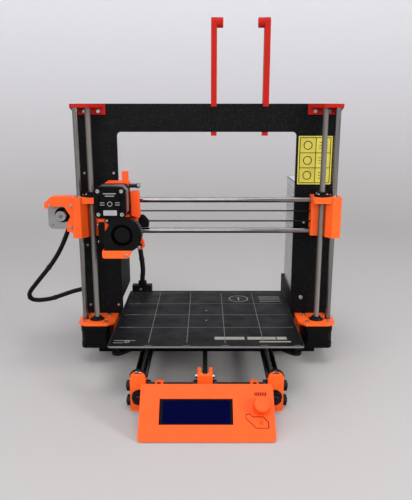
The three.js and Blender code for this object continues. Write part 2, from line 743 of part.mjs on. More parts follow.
// Sleeve over the bed's leads: up out of its clamp, over in one loop, into the back of the box.
const BED_CABLE = [
  [-108, 93, 87],
  [-107.8, 93, 94],
  [-106.8, 93.5, 104],
  [-107.6, 95, 117],
  [-109.8, 98.5, 131],
  [-112.2, 104, 145],
  [-116, 113.5, 158],
  [-121.5, 125.5, 168],
  [-128.5, 137, 171],
  [-136, 145, 166],
  [-144, 147, 156],
  [-150, 144, 146],
  [-154, 136, 138.5],
  [-156, 125, 136],
  [-156, 112.3, 135.5],
];

// Sleeve over the X motor's leads: down and outward, round in one bend, back in to the box.
const X_CABLE = [
  [-211.7, 30, 195.5],
  [-212.5, 30, 188],
  [-216, 30, 179],
  [-222, 31, 166],
  [-230, 32, 151],
  [-240, 33.5, 136],
  [-251, 35, 122],
  [-262, 37, 109],
  [-272, 38.5, 97],
  [-280, 40, 87],
  [-283.5, 41.5, 79],
  [-281, 43.5, 72],
  [-273, 46, 69],
  [-262, 48.5, 68.8],
  [-249, 51, 70.5],
  [-234, 53.5, 75],
  [-218, 56, 80],
  [-203, 58, 83.5],
  [-190, 59, 85.5],
  [-181.3, 59, 86],
];

function sleeve(name, route, radius, steps) {
  const path = new THREE.CatmullRomCurve3(route.map((p) => new THREE.Vector3(...p)), false, 'centripetal');
  const section = new THREE.Shape();
  for (let i = 0; i < 8; i += 1) {
    const angle = (i * Math.PI) / 4;
    const place = [radius * Math.cos(angle), radius * Math.sin(angle)];
    if (i === 0) section.moveTo(...place);
    else section.lineTo(...place);
  }
  section.closePath();
  add(name, COLOUR.rubber, new THREE.ExtrudeGeometry(section, { steps, extrudePath: path }));
}

// ---------------------------------------------------------------- supply, electronics, display

function powerSupply() {
  add('psu_case', COLOUR.zinc, block(131.5, 181, 8.4, 119, 50, 260));
  const outer = block(129, 183, 6.3, 121, 10, 92);
  const room = block(131.2, 181.3, 8.1, 119.3, 12.5, 93);
  const socket = block(165, 182, 26, 61, 18, 44);
  const shell = join(cut(outer, room), socket, block(173, 182, 68, 94, 20, 40));
  const inlet = block(167, 184, 28.5, 58.5, 20.5, 41.5);
  const rocker = block(175, 184, 71, 91, 24, 37);
  add('psu_cover', COLOUR.black, cut(shell, inlet, rocker));
  const key = slab('z', polygon([[0, -9.1], [7, -9.1], [6.4, 0], [7, 9.1], [0, 9.1]]), 24.9, 36.1);
  add('power_switch', COLOUR.rubber, key.rotateZ(SWITCH.tilt).translate(SWITCH.x, SWITCH.y, 0));
}

function electronicsBox() {
  const [left, right, front, back, low, high] = [-181, -131, 6.3, 112, 80, 205];
  const wall = 2.5;
  const shell = block(left, right, front, back, low, high);
  const room = block(left + wall, right - wall, front + wall, back - wall, low + wall, high - wall);
  const vents = [0, 1, 2, 3, 4].map((i) =>
    block(left - 1, left + wall + 1, 30 + i * 14, 36 + i * 14, 105, 185));
  add('electronics_box', COLOUR.black, cut(shell, room, ...vents));
}

const SLOPE = Math.atan2(DISPLAY.topZ - DISPLAY.lowZ, DISPLAY.top - DISPLAY.front);

// Turns a piece drawn with x across, y up the sloped face and z out of it into its place.
function onSlope(geometry) {
  return geometry.rotateX(SLOPE).translate(0, DISPLAY.front, DISPLAY.lowZ);
}

// The flap that pushes the reset key, scaled about its middle; larger than 1 gives the slot round it.
function leverOutline(scale) {
  const middle = [55, 23];
  return [
    [45.8, 31.2],
    [45.8, 27.3],
    [57.1, 16.4],
    [70.6, 16.4],
    [70.6, 22.8],
    [65.2, 28.6],
    [53.3, 28.6],
    [49.4, 32.2],
  ].map((point) => point.map((value, i) => middle[i] + (value - middle[i]) * scale));
}

function displayUnit() {
  const { half, front, lowZ, top, topZ, depth, wall } = DISPLAY;
  const backY = top + depth * Math.sin(SLOPE);
  const backZ = topZ - depth * Math.cos(SLOPE);
  const footZ = 0.5;
  const footY = backY - (backZ - footZ) / Math.tan(SLOPE);
  const outer = slab('x', polygon([
    [front, lowZ],
    [front + 1.5, footZ],
    [footY, footZ],
    [backY, backZ],
    [top + 3.5, topZ + 0.5],
    [top, topZ],
  ]), -half, half);
  const length = Math.hypot(top - front, topZ - lowZ);
  const room = onSlope(block(-half + wall, half - wall, wall + 2, length - wall, -30, -wall));
  const frame = DISPLAY_WINDOW;
  const windowCut = onSlope(block(frame.left, frame.right, frame.low, frame.high, -6, 3));
  const knobHole = onSlope(bar('z', KNOB.x, KNOB.up, 4, -6, 3, 16));
  const leverHole = onSlope(slab('z', polygon(leverOutline(1.09)), -6, 3));
  const face = rounded(-half, half, 0, length, DISPLAY.corner);
  const trimmed = overlap(outer, onSlope(slab('z', face, -60, 10, 5)));
  add('display_cover', COLOUR.orange, cut(trimmed, room, windowCut, knobHole, leverHole));
  const knob = turned('z', KNOB.x, KNOB.up, [
    [0, 1.2],
    [KNOB.radius, 1.2],
    [KNOB.radius - 0.6, KNOB.length],
    [KNOB.radius - 2, KNOB.length + 1.2],
    [0, KNOB.length + 1.2],
  ], 20);
  add('display_knob', COLOUR.orange, onSlope(knob));
  const shaft = bar('z', KNOB.x, KNOB.up, 3, -9, 0.9, 12);
  add('knob_shaft', COLOUR.zinc, onSlope(shaft));
  add('reset_button', COLOUR.orange, onSlope(slab('z', polygon(leverOutline(1)), -2.2, 0)));
}

// ---------------------------------------------------------------- spool holder

function spoolArms() {
  const top = PLATE.height + GAP;
  const back = PLATE.thick + GAP;
  const under = WINDOW.high - GAP;
  const outline = new THREE.Shape();
  outline.moveTo(-4, 371);
  outline.lineTo(-GAP, 371);
  outline.lineTo(-GAP, top);
  outline.lineTo(back, top);
  outline.lineTo(back, under);
  outline.lineTo(0.5, under);
  outline.lineTo(0.5, under - 5);
  outline.lineTo(12, under - 5);
  outline.lineTo(12, 379);
  outline.lineTo(10, 482);
  outline.absarc(3, 482, 7, 0, Math.PI);
  outline.lineTo(-4, 379);
  outline.closePath();
  for (const [side, x0, x1, pegFrom, pegTo] of [['left', 6, 14, 13, 22.5], ['right', 79, 87, 70.5, 80]]) {
    const arm = slab('x', outline, x0, x1, 6);
    add(`spool_arm_${side}`, COLOUR.red, join(arm, bar('x', 3, 482, 6.8, pegFrom, pegTo)));
  }
}

// ---------------------------------------------------------------- assembly

framePlate();
corners();
yRods();
yIdler();
yMotor();
zDrives();
xEnds();
xDrive();
xCarriage();
extruderMotor();
extruderBody();
idlerDoor();
hotend();
hotendFan();
blower();
fanNozzle();
yCarriage();
bed();
powerSupply();
electronicsBox();
displayUnit();
spoolArms();
sleeve('x_motor_cable', X_CABLE, 3.5, 38);
sleeve('bed_cable', BED_CABLE, 4, 26);

// The origin goes under the middle of the machine, cables apart.
const leftmost = X_MOTOR.armLeft;
const rightmost = X_END.column;
const rearmost = LONG_ROD.back;
machine.position.set(-(leftmost + rightmost) / 2, -(DISPLAY.front + rearmost) / 2, 0);

export default machine;
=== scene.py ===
"""The looks of a desktop 3-D printer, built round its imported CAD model.

Lengths are millimetres in a drawing frame: X to the right, Y to the back from the front face of the
frame plate, Z up from the table. world() turns them into metres in the row frame.
"""

import json
import math
import bmesh
import bpy
from mathutils import Matrix, Vector

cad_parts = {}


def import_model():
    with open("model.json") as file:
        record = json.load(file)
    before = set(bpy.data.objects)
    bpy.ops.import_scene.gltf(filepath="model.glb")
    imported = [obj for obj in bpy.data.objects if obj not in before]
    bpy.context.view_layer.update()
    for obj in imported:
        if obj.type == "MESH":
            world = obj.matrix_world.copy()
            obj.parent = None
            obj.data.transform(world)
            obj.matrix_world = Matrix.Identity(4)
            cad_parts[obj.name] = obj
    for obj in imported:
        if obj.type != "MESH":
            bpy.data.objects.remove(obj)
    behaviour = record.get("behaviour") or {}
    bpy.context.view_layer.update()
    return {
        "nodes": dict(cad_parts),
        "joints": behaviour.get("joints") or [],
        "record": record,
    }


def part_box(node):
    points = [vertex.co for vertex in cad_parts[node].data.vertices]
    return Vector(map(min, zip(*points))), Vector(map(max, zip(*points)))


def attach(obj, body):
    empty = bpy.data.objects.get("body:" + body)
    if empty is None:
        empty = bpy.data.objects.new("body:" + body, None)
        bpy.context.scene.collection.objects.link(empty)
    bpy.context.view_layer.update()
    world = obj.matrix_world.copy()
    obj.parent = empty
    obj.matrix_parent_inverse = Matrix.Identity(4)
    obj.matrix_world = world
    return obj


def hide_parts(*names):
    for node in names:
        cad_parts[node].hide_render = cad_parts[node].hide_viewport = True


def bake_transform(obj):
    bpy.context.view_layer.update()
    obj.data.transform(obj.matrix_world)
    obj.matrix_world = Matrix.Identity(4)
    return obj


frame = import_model()

MM = 0.001
TAU = 2 * math.pi
plate_low, plate_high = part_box("frame_plate")
ORIGIN = Vector(((plate_low.x + plate_high.x) / 2, plate_low.y, 0))


def world(point):
    return ORIGIN + Vector(point) * MM


def limits(node):
    """Lowest and highest corner of a CAD node, in the drawing frame."""
    low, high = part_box(node)
    return (low - ORIGIN) / MM, (high - ORIGIN) / MM


def middle(node):
    low, high = limits(node)
    return (low + high) / 2


def placed(node, axis):
    """A CAD node's middle across an axis, half its width there and its two ends along the axis."""
    low, high = limits(node)
    a, b, along = {"x": (1, 2, 0), "y": (0, 2, 1), "z": (0, 1, 2)}[axis]
    return (low[a] + high[a]) / 2, (low[b] + high[b]) / 2, (high[a] - low[a]) / 2, low[along], high[along]


def about(place, half):
    """The span that reaches half to each side of a place."""
    return place - half, place + half


def outward(face, out, near, far):
    """The two places at distances near and far out of a face, lower one first."""
    return sorted((face + out * near, face + out * far))


def polar(u, v, r, angle):
    return u + r * math.cos(angle), v + r * math.sin(angle)


# ---------------------------------------------------------------- camera, light and floor

CAMERA_PLACE = (-1, -821.4, 366.4)
CAMERA_TILT = math.radians(76.11)
CAMERA_LENS = 40.79

# The studio is in metres: its radius, the radius of the curve at the wall's foot, and the wall's height.
STUDIO_RADIUS = 1.9
STUDIO_COVE = 0.8
STUDIO_HEIGHT = 3.0
STUDIO_SIDES = 96
COVE_STEPS = 12

# Name, place, size and power of each area light, in metres and watts. All of them face LIGHT_AIM.
LAMPS = [
    ("key", (1.3, -0.85, 0.62), (0.4, 0.3), 15),
    ("front", (-0.35, -1.55, 0.85), (1.1, 0.8), 10),
    ("fill", (-1.3, -0.7, 0.9), (0.8, 1.0), 7),
    ("top", (0.1, -0.3, 2.0), (1.2, 0.9), 14),
]
LIGHT_AIM = (0, 0, 0.2)


def make_camera():
    data = bpy.data.cameras.new("camera")
    data.lens = CAMERA_LENS
    data.sensor_width = 36
    data.clip_start = 0.01
    camera = bpy.data.objects.new("camera", data)
    camera.location = world(CAMERA_PLACE)
    camera.rotation_euler = (CAMERA_TILT, 0, 0)
    bpy.context.scene.collection.objects.link(camera)
    bpy.context.scene.camera = camera


def area_light(name, place, size, power):
    data = bpy.data.lights.new(name, "AREA")
    data.shape = "RECTANGLE"
    data.size, data.size_y = size
    data.energy = power
    lamp = bpy.data.objects.new(name, data)
    lamp.location = Vector(place)
    lamp.rotation_euler = (Vector(LIGHT_AIM) - Vector(place)).to_track_quat("-Z", "Y").to_euler()
    bpy.context.scene.collection.objects.link(lamp)


def studio_paint():
    """Matt paint, darker at the floor than up the wall."""
    look = bpy.data.materials.new("floor")
    look.use_nodes = True
    tree = look.node_tree
    bsdf = tree.nodes["Principled BSDF"]
    bsdf.inputs["Roughness"].default_value = 0.9
    bsdf.inputs["Specular IOR Level"].default_value = 0.15
    place = tree.nodes.new("ShaderNodeTexCoord")
    height = tree.nodes.new("ShaderNodeSeparateXYZ")
    tree.links.new(place.outputs["Object"], height.inputs[0])
    shade = tree.nodes.new("ShaderNodeValToRGB")
    shade.color_ramp.elements[0].color = (0.41, 0.395, 0.388, 1)
    shade.color_ramp.elements[1].color = (0.85, 0.85, 0.878, 1)
    tree.links.new(height.outputs["Z"], shade.inputs[0])
    tree.links.new(shade.outputs["Color"], bsdf.inputs["Base Color"])
    return look


def make_stage():
    """A round studio: a matt floor that curves up into a wall on every side, open to the sky above."""
    flat = STUDIO_RADIUS - STUDIO_COVE
    profile = [(STUDIO_RADIUS / 2, 0.0), (flat, 0.0)]
    for step in range(1, COVE_STEPS + 1):
        angle = math.pi / 2 * step / COVE_STEPS
        profile.append((flat + STUDIO_COVE * math.sin(angle), STUDIO_COVE - STUDIO_COVE * math.cos(angle)))
    profile.append((STUDIO_RADIUS, STUDIO_HEIGHT))
    sides = STUDIO_SIDES
    verts = [(0, 0, 0)]
    for reach, z in profile:
        verts += [(*polar(0, 0, reach, TAU * i / sides), z) for i in range(sides)]
    faces = [(0, 1 + i, 1 + (i + 1) % sides) for i in range(sides)]
    for row in range(len(profile) - 1):
        for i in range(sides):
            j = (i + 1) % sides
            a, b = 1 + row * sides, 1 + (row + 1) * sides
            faces.append((a + i, b + i, b + j, a + j))
    mesh = bpy.data.meshes.new("floor")
    mesh.from_pydata(verts, [], faces)
    for polygon in mesh.polygons:
        polygon.use_smooth = True
    mesh.materials.append(studio_paint())
    floor = bpy.data.objects.new("floor", mesh)
    bpy.context.scene.collection.objects.link(floor)
    sky = bpy.data.worlds.new("studio")
    sky.use_nodes = True
    sky.node_tree.nodes["Background"].inputs["Color"].default_value = (0.95, 0.96, 1.0, 1)
    sky.node_tree.nodes["Background"].inputs["Strength"].default_value = 0.8
    bpy.context.scene.world = sky
    bpy.context.scene.view_settings.view_transform = "Standard"
    for lamp in LAMPS:
        area_light(*lamp)


make_camera()
make_stage()


# ---------------------------------------------------------------- cords

CABLE_SIDES = 16
CABLE_RADIUS = {"bed_cable": 4, "x_motor_cable": 3.5}

# Sleeve over the bed's leads: up out of its clamp, over in one loop, into the back of the box.
BED_CABLE = [
    (-108, 93, 87),
    (-107.8, 93, 94),
    (-106.8, 93.5, 104),
    (-107.6, 95, 117),
    (-109.8, 98.5, 131),
    (-112.2, 104, 145),
    (-116, 113.5, 158),
    (-121.5, 125.5, 168),
    (-128.5, 137, 171),
    (-136, 145, 166),
    (-144, 147, 156),
    (-150, 144, 146),
    (-154, 136, 138.5),
    (-156, 125, 136),
    (-156, 112.3, 135.5),
]

# Sleeve over the X motor's leads: down and outward, round in one bend, back in to the box.
X_CABLE = [
    (-211.7, 30, 195.5),
    (-212.5, 30, 188),
    (-216, 30, 179),
    (-222, 31, 166),
    (-230, 32, 151),
    (-240, 33.5, 136),
    (-251, 35, 122),
    (-262, 37, 109),
    (-272, 38.5, 97),
    (-280, 40, 87),
    (-283.5, 41.5, 79),
    (-281, 43.5, 72),
    (-273, 46, 69),
    (-262, 48.5, 68.8),
    (-249, 51, 70.5),
    (-234, 53.5, 75),
    (-218, 56, 80),
    (-203, 58, 83.5),
    (-190, 59, 85.5),
    (-181.3, 59, 86),
]


def smooth_route(points, between=4):
    """Points on a smooth curve through the given ones, close together."""
    route = [Vector(p) for p in points]
    ends = [route[0] * 2 - route[1]] + route + [route[-1] * 2 - route[-2]]
    fine = []
    for a, b, c, d in zip(ends, ends[1:], ends[2:], ends[3:]):
        for step in range(between):
            t = step / between
            bend = (2 * a - 5 * b + 4 * c - d) * t**2 + (3 * b - a - 3 * c + d) * t**3
            fine.append(0.5 * (2 * b + (c - a) * t + bend))
    return fine + [route[-1]]


# ---------------------------------------------------------------- materials


class Look:
    """A material's node tree, built up a layer at a time. Coordinates are the object's own, in metres."""

    def __init__(self, name, base, rough, metal=0.0, gloss=0.5, coords="Object"):
        self.material = bpy.data.materials.new(name)
        self.material.use_nodes = True
        self.tree = self.material.node_tree
        self.bsdf = self.tree.nodes["Principled BSDF"]
        self.base = base
        self.bsdf.inputs["Base Color"].default_value = (*base, 1)
        self.bsdf.inputs["Roughness"].default_value = rough
        self.bsdf.inputs["Metallic"].default_value = metal
        self.bsdf.inputs["Specular IOR Level"].default_value = gloss
        self.rough = rough
        self.place = self.tree.nodes.new("ShaderNodeTexCoord").outputs[coords]
        self.height = None

    def node(self, kind, **sockets):
        made = self.tree.nodes.new("ShaderNode" + kind)
        for name, value in sockets.items():
            made.inputs[name.replace("_", " ")].default_value = value
        return made

    def join(self, source, target):
        self.tree.links.new(source, target)

    def noise(self, scale, detail=3.0, stretch=None):
        made = self.node("TexNoise", Scale=scale, Detail=detail)
        place = self.place
        if stretch:
            mapping = self.node("Mapping", Scale=stretch)
            self.join(place, mapping.inputs["Vector"])
            place = mapping.outputs["Vector"]
        self.join(place, made.inputs["Vector"])
        return made.outputs["Fac"]

    def ranged(self, value, low, high, start=0.3, end=0.7):
        made = self.node("MapRange", From_Min=start, From_Max=end, To_Min=low, To_Max=high)
        self.join(value, made.inputs["Value"])
        return made.outputs["Result"]

    def colour(self, factor, other):
        """Mixes from the present base colour to another one by a factor."""
        # A colour mix has its factor at socket 0, its two colours at 6 and 7 and its result at output 2.
        made = self.tree.nodes.new("ShaderNodeMix")
        made.data_type = "RGBA"
        socket = self.bsdf.inputs["Base Color"]
        first = made.inputs[6]
        if socket.is_linked:
            self.join(socket.links[0].from_socket, first)
        else:
            first.default_value = (*self.base, 1)
        made.inputs[7].default_value = (*other, 1)
        self.join(factor, made.inputs[0])
        self.join(made.outputs[2], socket)
        return self

    def mottle(self, scale, amount, stretch=None):
        """Slow patches, a little lighter or darker than the base colour."""
        darker = tuple(c * (1 - amount) for c in self.base)
        return self.colour(self.ranged(self.noise(scale, stretch=stretch), 0, 1), darker)

    def wear(self, scale, amount, stretch=None):
        """Roughness that wanders about its mean."""
        value = self.ranged(self.noise(scale, 4, stretch), self.rough - amount, self.rough + amount)
        self.join(value, self.bsdf.inputs["Roughness"])
        return self

    def bump(self, height, strength, depth):
        made = self.node("Bump", Strength=strength, Distance=depth * MM)
        self.join(height, made.inputs["Height"])
        if self.height:
            self.join(self.height, made.inputs["Normal"])
        self.height = made.outputs["Normal"]
        self.join(self.height, self.bsdf.inputs["Normal"])
        return self

    def grain(self, size, strength=0.3, depth=0.1, stretch=None):
        return self.bump(self.noise(1 / (size * MM), 2, stretch), strength, depth)

    def ridges(self, pitch, direction="Z", strength=0.3, depth=0.05):
        made = self.node("TexWave", Scale=TAU / (20 * pitch * MM), Distortion=0.0)
        made.bands_direction = direction
        self.join(self.place, made.inputs["Vector"])
        return self.bump(made.outputs["Fac"], strength, depth)

    def weave(self, pitch_u, pitch_v, strength=0.6, depth=0.3):
        """Two crossing sets of strands on a tube whose UV runs round and along it, in metres."""
        product = None
        for turn in (math.radians(45), math.radians(-45)):
            mapping = self.node("Mapping", Rotation=(0, 0, turn), Scale=(1 / pitch_u, 1 / pitch_v, 1))
            self.join(self.place, mapping.inputs["Vector"])
            wave = self.node("TexWave", Scale=TAU / 20, Distortion=0.0)
            self.join(mapping.outputs["Vector"], wave.inputs["Vector"])
            if product is None:
                product = wave.outputs["Fac"]
            else:
                maximum = self.node("Math")
                maximum.operation = "MAXIMUM"
                self.join(product, maximum.inputs[0])
                self.join(wave.outputs["Fac"], maximum.inputs[1])
                product = maximum.outputs["Value"]
        return self.bump(product, strength, depth)


def printed(name, base, rough=0.45, direction="Z", gloss=0.22):
    look = Look(name, base, rough, gloss=gloss)
    look.mottle(45, 0.07).wear(160, 0.06)
    return look.ridges(0.35, direction, 0.22, 0.05).grain(0.9, 0.08, 0.05).material


def metal(name, base, rough, grain=0.25, stretch=None):
    look = Look(name, base, rough, metal=1.0)
    look.mottle(90, 0.14, stretch).wear(350, 0.07, stretch)
    return look.grain(grain, 0.12, 0.02, stretch).material


def moulded(name, base, rough, grain=0.35, gloss=0.07):
    look = Look(name, base, rough, gloss=gloss)
    return look.mottle(70, 0.15).wear(220, 0.06).grain(grain, 0.15, 0.03).material


def powder_coat():
    look = Look("powder_coat", (0.0045, 0.0043, 0.0047), 0.5, gloss=0.05)
    look.mottle(14, 0.25)
    fleck = look.ranged(look.noise(950, 1.5), 0, 0.75, 0.63, 0.74)
    look.colour(fleck, (0.06, 0.06, 0.063))
    return look.wear(500, 0.12).grain(0.55, 0.45, 0.12).material


def circuit_board():
    look = Look("bed_mask", (0.0068, 0.0065, 0.007), 0.4, gloss=0.04)
    look.mottle(9, 0.2)
    scratch = look.ranged(look.noise(60, 6, (1, 14, 1)), 0, 0.25, 0.62, 0.8)
    look.colour(scratch, (0.04, 0.04, 0.042))
    return look.wear(40, 0.12).grain(0.6, 0.1, 0.03).material


def galvanised():
    look = Look("galvanised_sheet", (0.66, 0.67, 0.68), 0.45, metal=0.75)
    cells = look.node("TexVoronoi", Scale=240.0)
    look.join(look.place, cells.inputs["Vector"])
    look.colour(look.ranged(cells.outputs["Distance"], 0, 0.35, 0.1, 0.6), (0.5, 0.51, 0.53))
    return look.wear(120, 0.1).grain(0.8, 0.1, 0.03).material


def sleeve_look():
    look = Look("braided_sleeve", (0.0035, 0.0035, 0.004), 0.5, gloss=0.12, coords="UV")
    look.mottle(300, 0.3)
    return look.weave(0.0016, 0.0016).material


def laminated(direction):
    look = Look("lamination_" + direction.lower(), (0.3, 0.3, 0.31), 0.42, metal=0.9)
    return look.mottle(60, 0.2).ridges(0.5, direction, 0.6, 0.12).wear(300, 0.08).material


def screen_glass():
    look = Look("screen_glass", (0.0004, 0.0008, 0.021), 0.25, gloss=0.01)
    bands = look.noise(25, 1)
    return look.colour(look.ranged(bands, 0, 0.5), (0.0012, 0.0014, 0.024)).material


ORANGE = printed("orange_print", (0.94, 0.114, 0.012))
# A darker, redder copy of the same orange print, with its ridges along Y: painted shade, used on the display,
# its flap and knob and on the extruder, whose broad faces catch more light.
ORANGE_FLAT_PAINTED_SHADE = printed("orange_print_flat_painted_shade", (0.9, 0.084, 0.008), direction="Y")
RED = printed("red_print", (0.38, 0.009, 0.005), direction="X", gloss=0.1)
BLACK_PRINT = printed("black_print", (0.0032, 0.0032, 0.0036), 0.6, gloss=0.08)
POWDER = powder_coat()
GROUND_STEEL = metal("ground_steel", (0.23, 0.22, 0.213), 0.13)
THREAD_STEEL = Look("thread_steel", (0.2, 0.188, 0.173), 0.55, metal=1.0).material
BLACK_STEEL = metal("black_steel", (0.022, 0.022, 0.024), 0.38)
BRIGHT_STEEL = metal("bright_steel", (0.36, 0.35, 0.34), 0.26)
ALLOY = metal("turned_alloy", (0.5, 0.5, 0.51), 0.32)
DULL_ALLOY = metal("dull_alloy", (0.3, 0.3, 0.31), 0.42)
BRASS = metal("brass", (0.62, 0.45, 0.19), 0.28)
MOTOR_BLACK = moulded("motor_black", (0.003, 0.0029, 0.0031), 0.4)
FAN_BLACK = moulded("fan_black", (0.004, 0.0039, 0.0042), 0.36)
SOCKET_BLACK = moulded("socket_black", (0.0035, 0.0035, 0.004), 0.55)
PLATE_BLACK = moulded("label_plate_black", (0.0022, 0.0022, 0.0025), 0.3)
PALE_INK = moulded("pale_ink", (0.34, 0.34, 0.35), 0.6)
BED_INK = moulded("bed_ink", (0.15, 0.15, 0.147), 0.6)
MARK_INK = moulded("mark_ink", (0.27, 0.26, 0.235), 0.6)
BED_EDGE = moulded("bed_edge", (0.17, 0.17, 0.175), 0.5)
YELLOW = moulded("yellow_plate", (0.62, 0.54, 0.09), 0.5)
RUBBER = moulded("belt_rubber", (0.0095, 0.0095, 0.01), 0.6, 0.5)
TIE_BLACK = moulded("tie_nylon", (0.012, 0.012, 0.013), 0.4)
PIN_COPPER = metal("pin_plating", (0.7, 0.66, 0.55), 0.3)
BOARD_GREEN = moulded("screen_board", (0.012, 0.07, 0.03), 0.4)
WHITE_NYLON = moulded("white_nylon", (0.62, 0.61, 0.57), 0.45)
BED_MASK = circuit_board()
GALVANISED = galvanised()
SLEEVE = sleeve_look()
LAMINATED_Y = laminated("Y")
LAMINATED_X = laminated("X")
SCREEN = screen_glass()
# Dark red for the sounder's slots and the slot round the reset flap: painted shade of the openings.
SLOT_PAINTED_SHADE = moulded("slot_painted_shade", (0.11, 0.006, 0.003), 0.7)
# Darker orange for the raised cross on the reset flap: painted shade of its relief.
MARK_PAINTED_SHADE = moulded("mark_painted_shade", (0.6, 0.055, 0.008), 0.6)


# ---------------------------------------------------------------- mesh building


def lay(axis, u, v, t):
    """A point from its two places across an axis and its place along it."""
    return {"x": (t, u, v), "y": (u, t, v), "z": (u, v, t)}[axis]


def rounded(u0, u1, v0, v1, r, steps=5):
    corners = [(u1 - r, v0 + r, -90), (u1 - r, v1 - r, 0), (u0 + r, v1 - r, 90), (u0 + r, v0 + r, 180)]
    return [polar(u, v, r, math.radians(start + 90 * step / steps))
            for u, v, start in corners for step in range(steps + 1)]


def round_outline(u, v, r, count):
    return [polar(u, v, r, TAU * i / count) for i in range(count)]


def rounded_about(u, v, half_u, half_v, r, steps=5):
    return rounded(*about(u, half_u), *about(v, half_v), r, steps)


def hexagon(across, phase=0.0):
    """Radius of a hexagon at an angle, for turned()."""
    sixth = TAU / 6
    return lambda angle: across / 2 / math.cos((angle + phase) % sixth - sixth / 2)


class Shape:
    """Closed solids collected into one mesh. look picks one of the piece's materials."""

    def __init__(self):
        self.verts = []
        self.faces = []
        self.looks = []
        self.turn = None

    def add(self, verts, faces, look=0):
        start = len(self.verts)
        points = [Vector(v) for v in verts]
        if self.turn:
            points = [self.turn @ v for v in points]
        self.verts += points
        self.faces += [[start + i for i in face] for face in faces]
        self.looks += [look] * len(faces)
        return self

    def prism(self, axis, outline, low, high, look=0):
        n = len(outline)
        verts = [lay(axis, u, v, t) for t in (low, high) for u, v in outline]
        faces = [list(range(n)), list(range(n, 2 * n))]
        faces += [[i, (i + 1) % n, n + (i + 1) % n, n + i] for i in range(n)]
        return self.add(verts, faces, look)

    def frame(self, axis, outer, inner, low, high, look=0):
        """A prism with one hole; both outlines have the same number of points."""
        n = len(outer)
        verts = [lay(axis, u, v, t) for t in (low, high) for u, v in outer + inner]
        faces = []
        for i in range(n):
            j = (i + 1) % n
            faces += [[i, j, n + j, n + i], [2 * n + i, 2 * n + j, 3 * n + j, 3 * n + i]]
            faces += [[i, j, 2 * n + j, 2 * n + i], [n + i, n + j, 3 * n + j, 3 * n + i]]
        return self.add(verts, faces, look)

    def block(self, x, y, z, look=0):
        outline = [(x[0], y[0]), (x[1], y[0]), (x[1], y[1]), (x[0], y[1])]
        return self.prism("z", outline, z[0], z[1], look)

    def turned(self, axis, u, v, profile, sides=32, look=0, loop=False):
        """A turned solid from (radius, place) rows; a radius may be a function of the angle."""
        verts, rows = [], []
        for r, t in profile:
            start = len(verts)
            if r == 0:
                verts.append(lay(axis, u, v, t))
                rows.append([start])
                continue
            for i in range(sides):
                angle = TAU * i / sides
                verts.append(lay(axis, *polar(u, v, r(angle) if callable(r) else r, angle), t))
            rows.append(list(range(start, start + sides)))
        faces = []
        for a, b in zip(rows, rows[1:] + ([rows[0]] if loop else [])):
            for i in range(sides):
                j = (i + 1) % sides
                if len(a) == 1:
                    faces.append([a[0], b[i], b[j]])
                elif len(b) == 1:
                    faces.append([a[i], a[j], b[0]])
                else:
                    faces.append([a[i], a[j], b[j], b[i]])
        return self.add(verts, faces, look)

    def bar(self, axis, u, v, r, low, high, chamfer=0.5, sides=40, look=0):
        slim = r - chamfer
        rows = [(0, low), (slim, low), (r, low + chamfer), (r, high - chamfer), (slim, high), (0, high)]
        return self.turned(axis, u, v, rows, sides, look)

    def ring(self, axis, u, v, inner, outer, low, high, sides=32, look=0, chamfer=0.25):
        slim = outer - chamfer
        rows = [(inner, low), (slim, low), (outer, low + chamfer)]
        rows += [(outer, high - chamfer), (slim, high), (inner, high)]
        return self.turned(axis, u, v, rows, sides, look, loop=True)

    def screw(self, axis, u, v, base, out, r=2.75, height=2.6, look=0):
        """A socket head that stands on base and points out (+1 or -1) along the axis."""
        socket = hexagon(r * 0.95)
        rows = [(0, 0), (r, 0), (r, height - 0.35), (r - 0.35, height)]
        rows += [(socket, height), (socket, height * 0.45), (0, height * 0.4)]
        return self.turned(axis, u, v, [(a, base + out * b) for a, b in rows], 24, look)

    def nut(self, axis, u, v, hole, across, low, high, look=0, phase=0.0):
        side = hexagon(across, phase)
        edge = 0.12 * across / 2
        cone = lambda angle: min(side(angle), across / 2 + edge * 0.35)
        rows = [(hole, low), (cone, low), (side, low + edge), (side, high - edge), (cone, high), (hole, high)]
        return self.turned(axis, u, v, rows, 36, look, loop=True)

    def thread(self, axis, u, v, radius, pitch, low, high, starts=1, depth=None, sides=20, per_pitch=4):
        """A right-handed threaded bar."""
        depth = pitch * 0.5 if depth is None else depth
        count = max(2, int((high - low) / pitch * per_pitch))
        places = [low + (high - low) * i / count for i in range(count + 1)]
        rows = [(self.thread_radius(t, radius, depth, pitch, starts), t) for t in places]
        return self.turned(axis, u, v, [(0, low)] + rows + [(0, high)], sides)

    @staticmethod
    def thread_radius(t, radius, depth, pitch, starts):
        return lambda angle: radius - depth * (0.5 - 0.5 * math.cos(TAU * t / pitch - starts * angle))

    def sweep(self, path, radius, sides=12, look=0):
        """A round bar along a path; radius may be a function of the step."""
        path = [Vector(p) for p in path]
        verts = []
        side = None
        for i, point in enumerate(path):
            ahead = path[min(i + 1, len(path) - 1)] - path[max(i - 1, 0)]
            along = ahead.normalized()
            if side is None:
                side = along.orthogonal().normalized()
            side = (side - along * side.dot(along)).normalized()
            other = along.cross(side)
            reach = radius(i) if callable(radius) else radius
            for j in range(sides):
                angle = TAU * j / sides
                verts.append(point + side * reach * math.cos(angle) + other * reach * math.sin(angle))
        faces = [list(range(sides)), list(range(len(verts) - sides, len(verts)))]
        for i in range(len(path) - 1):
            for j in range(sides):
                a, b = i * sides + j, i * sides + (j + 1) % sides
                faces.append([a, b, b + sides, a + sides])
        return self.add(verts, faces, look)


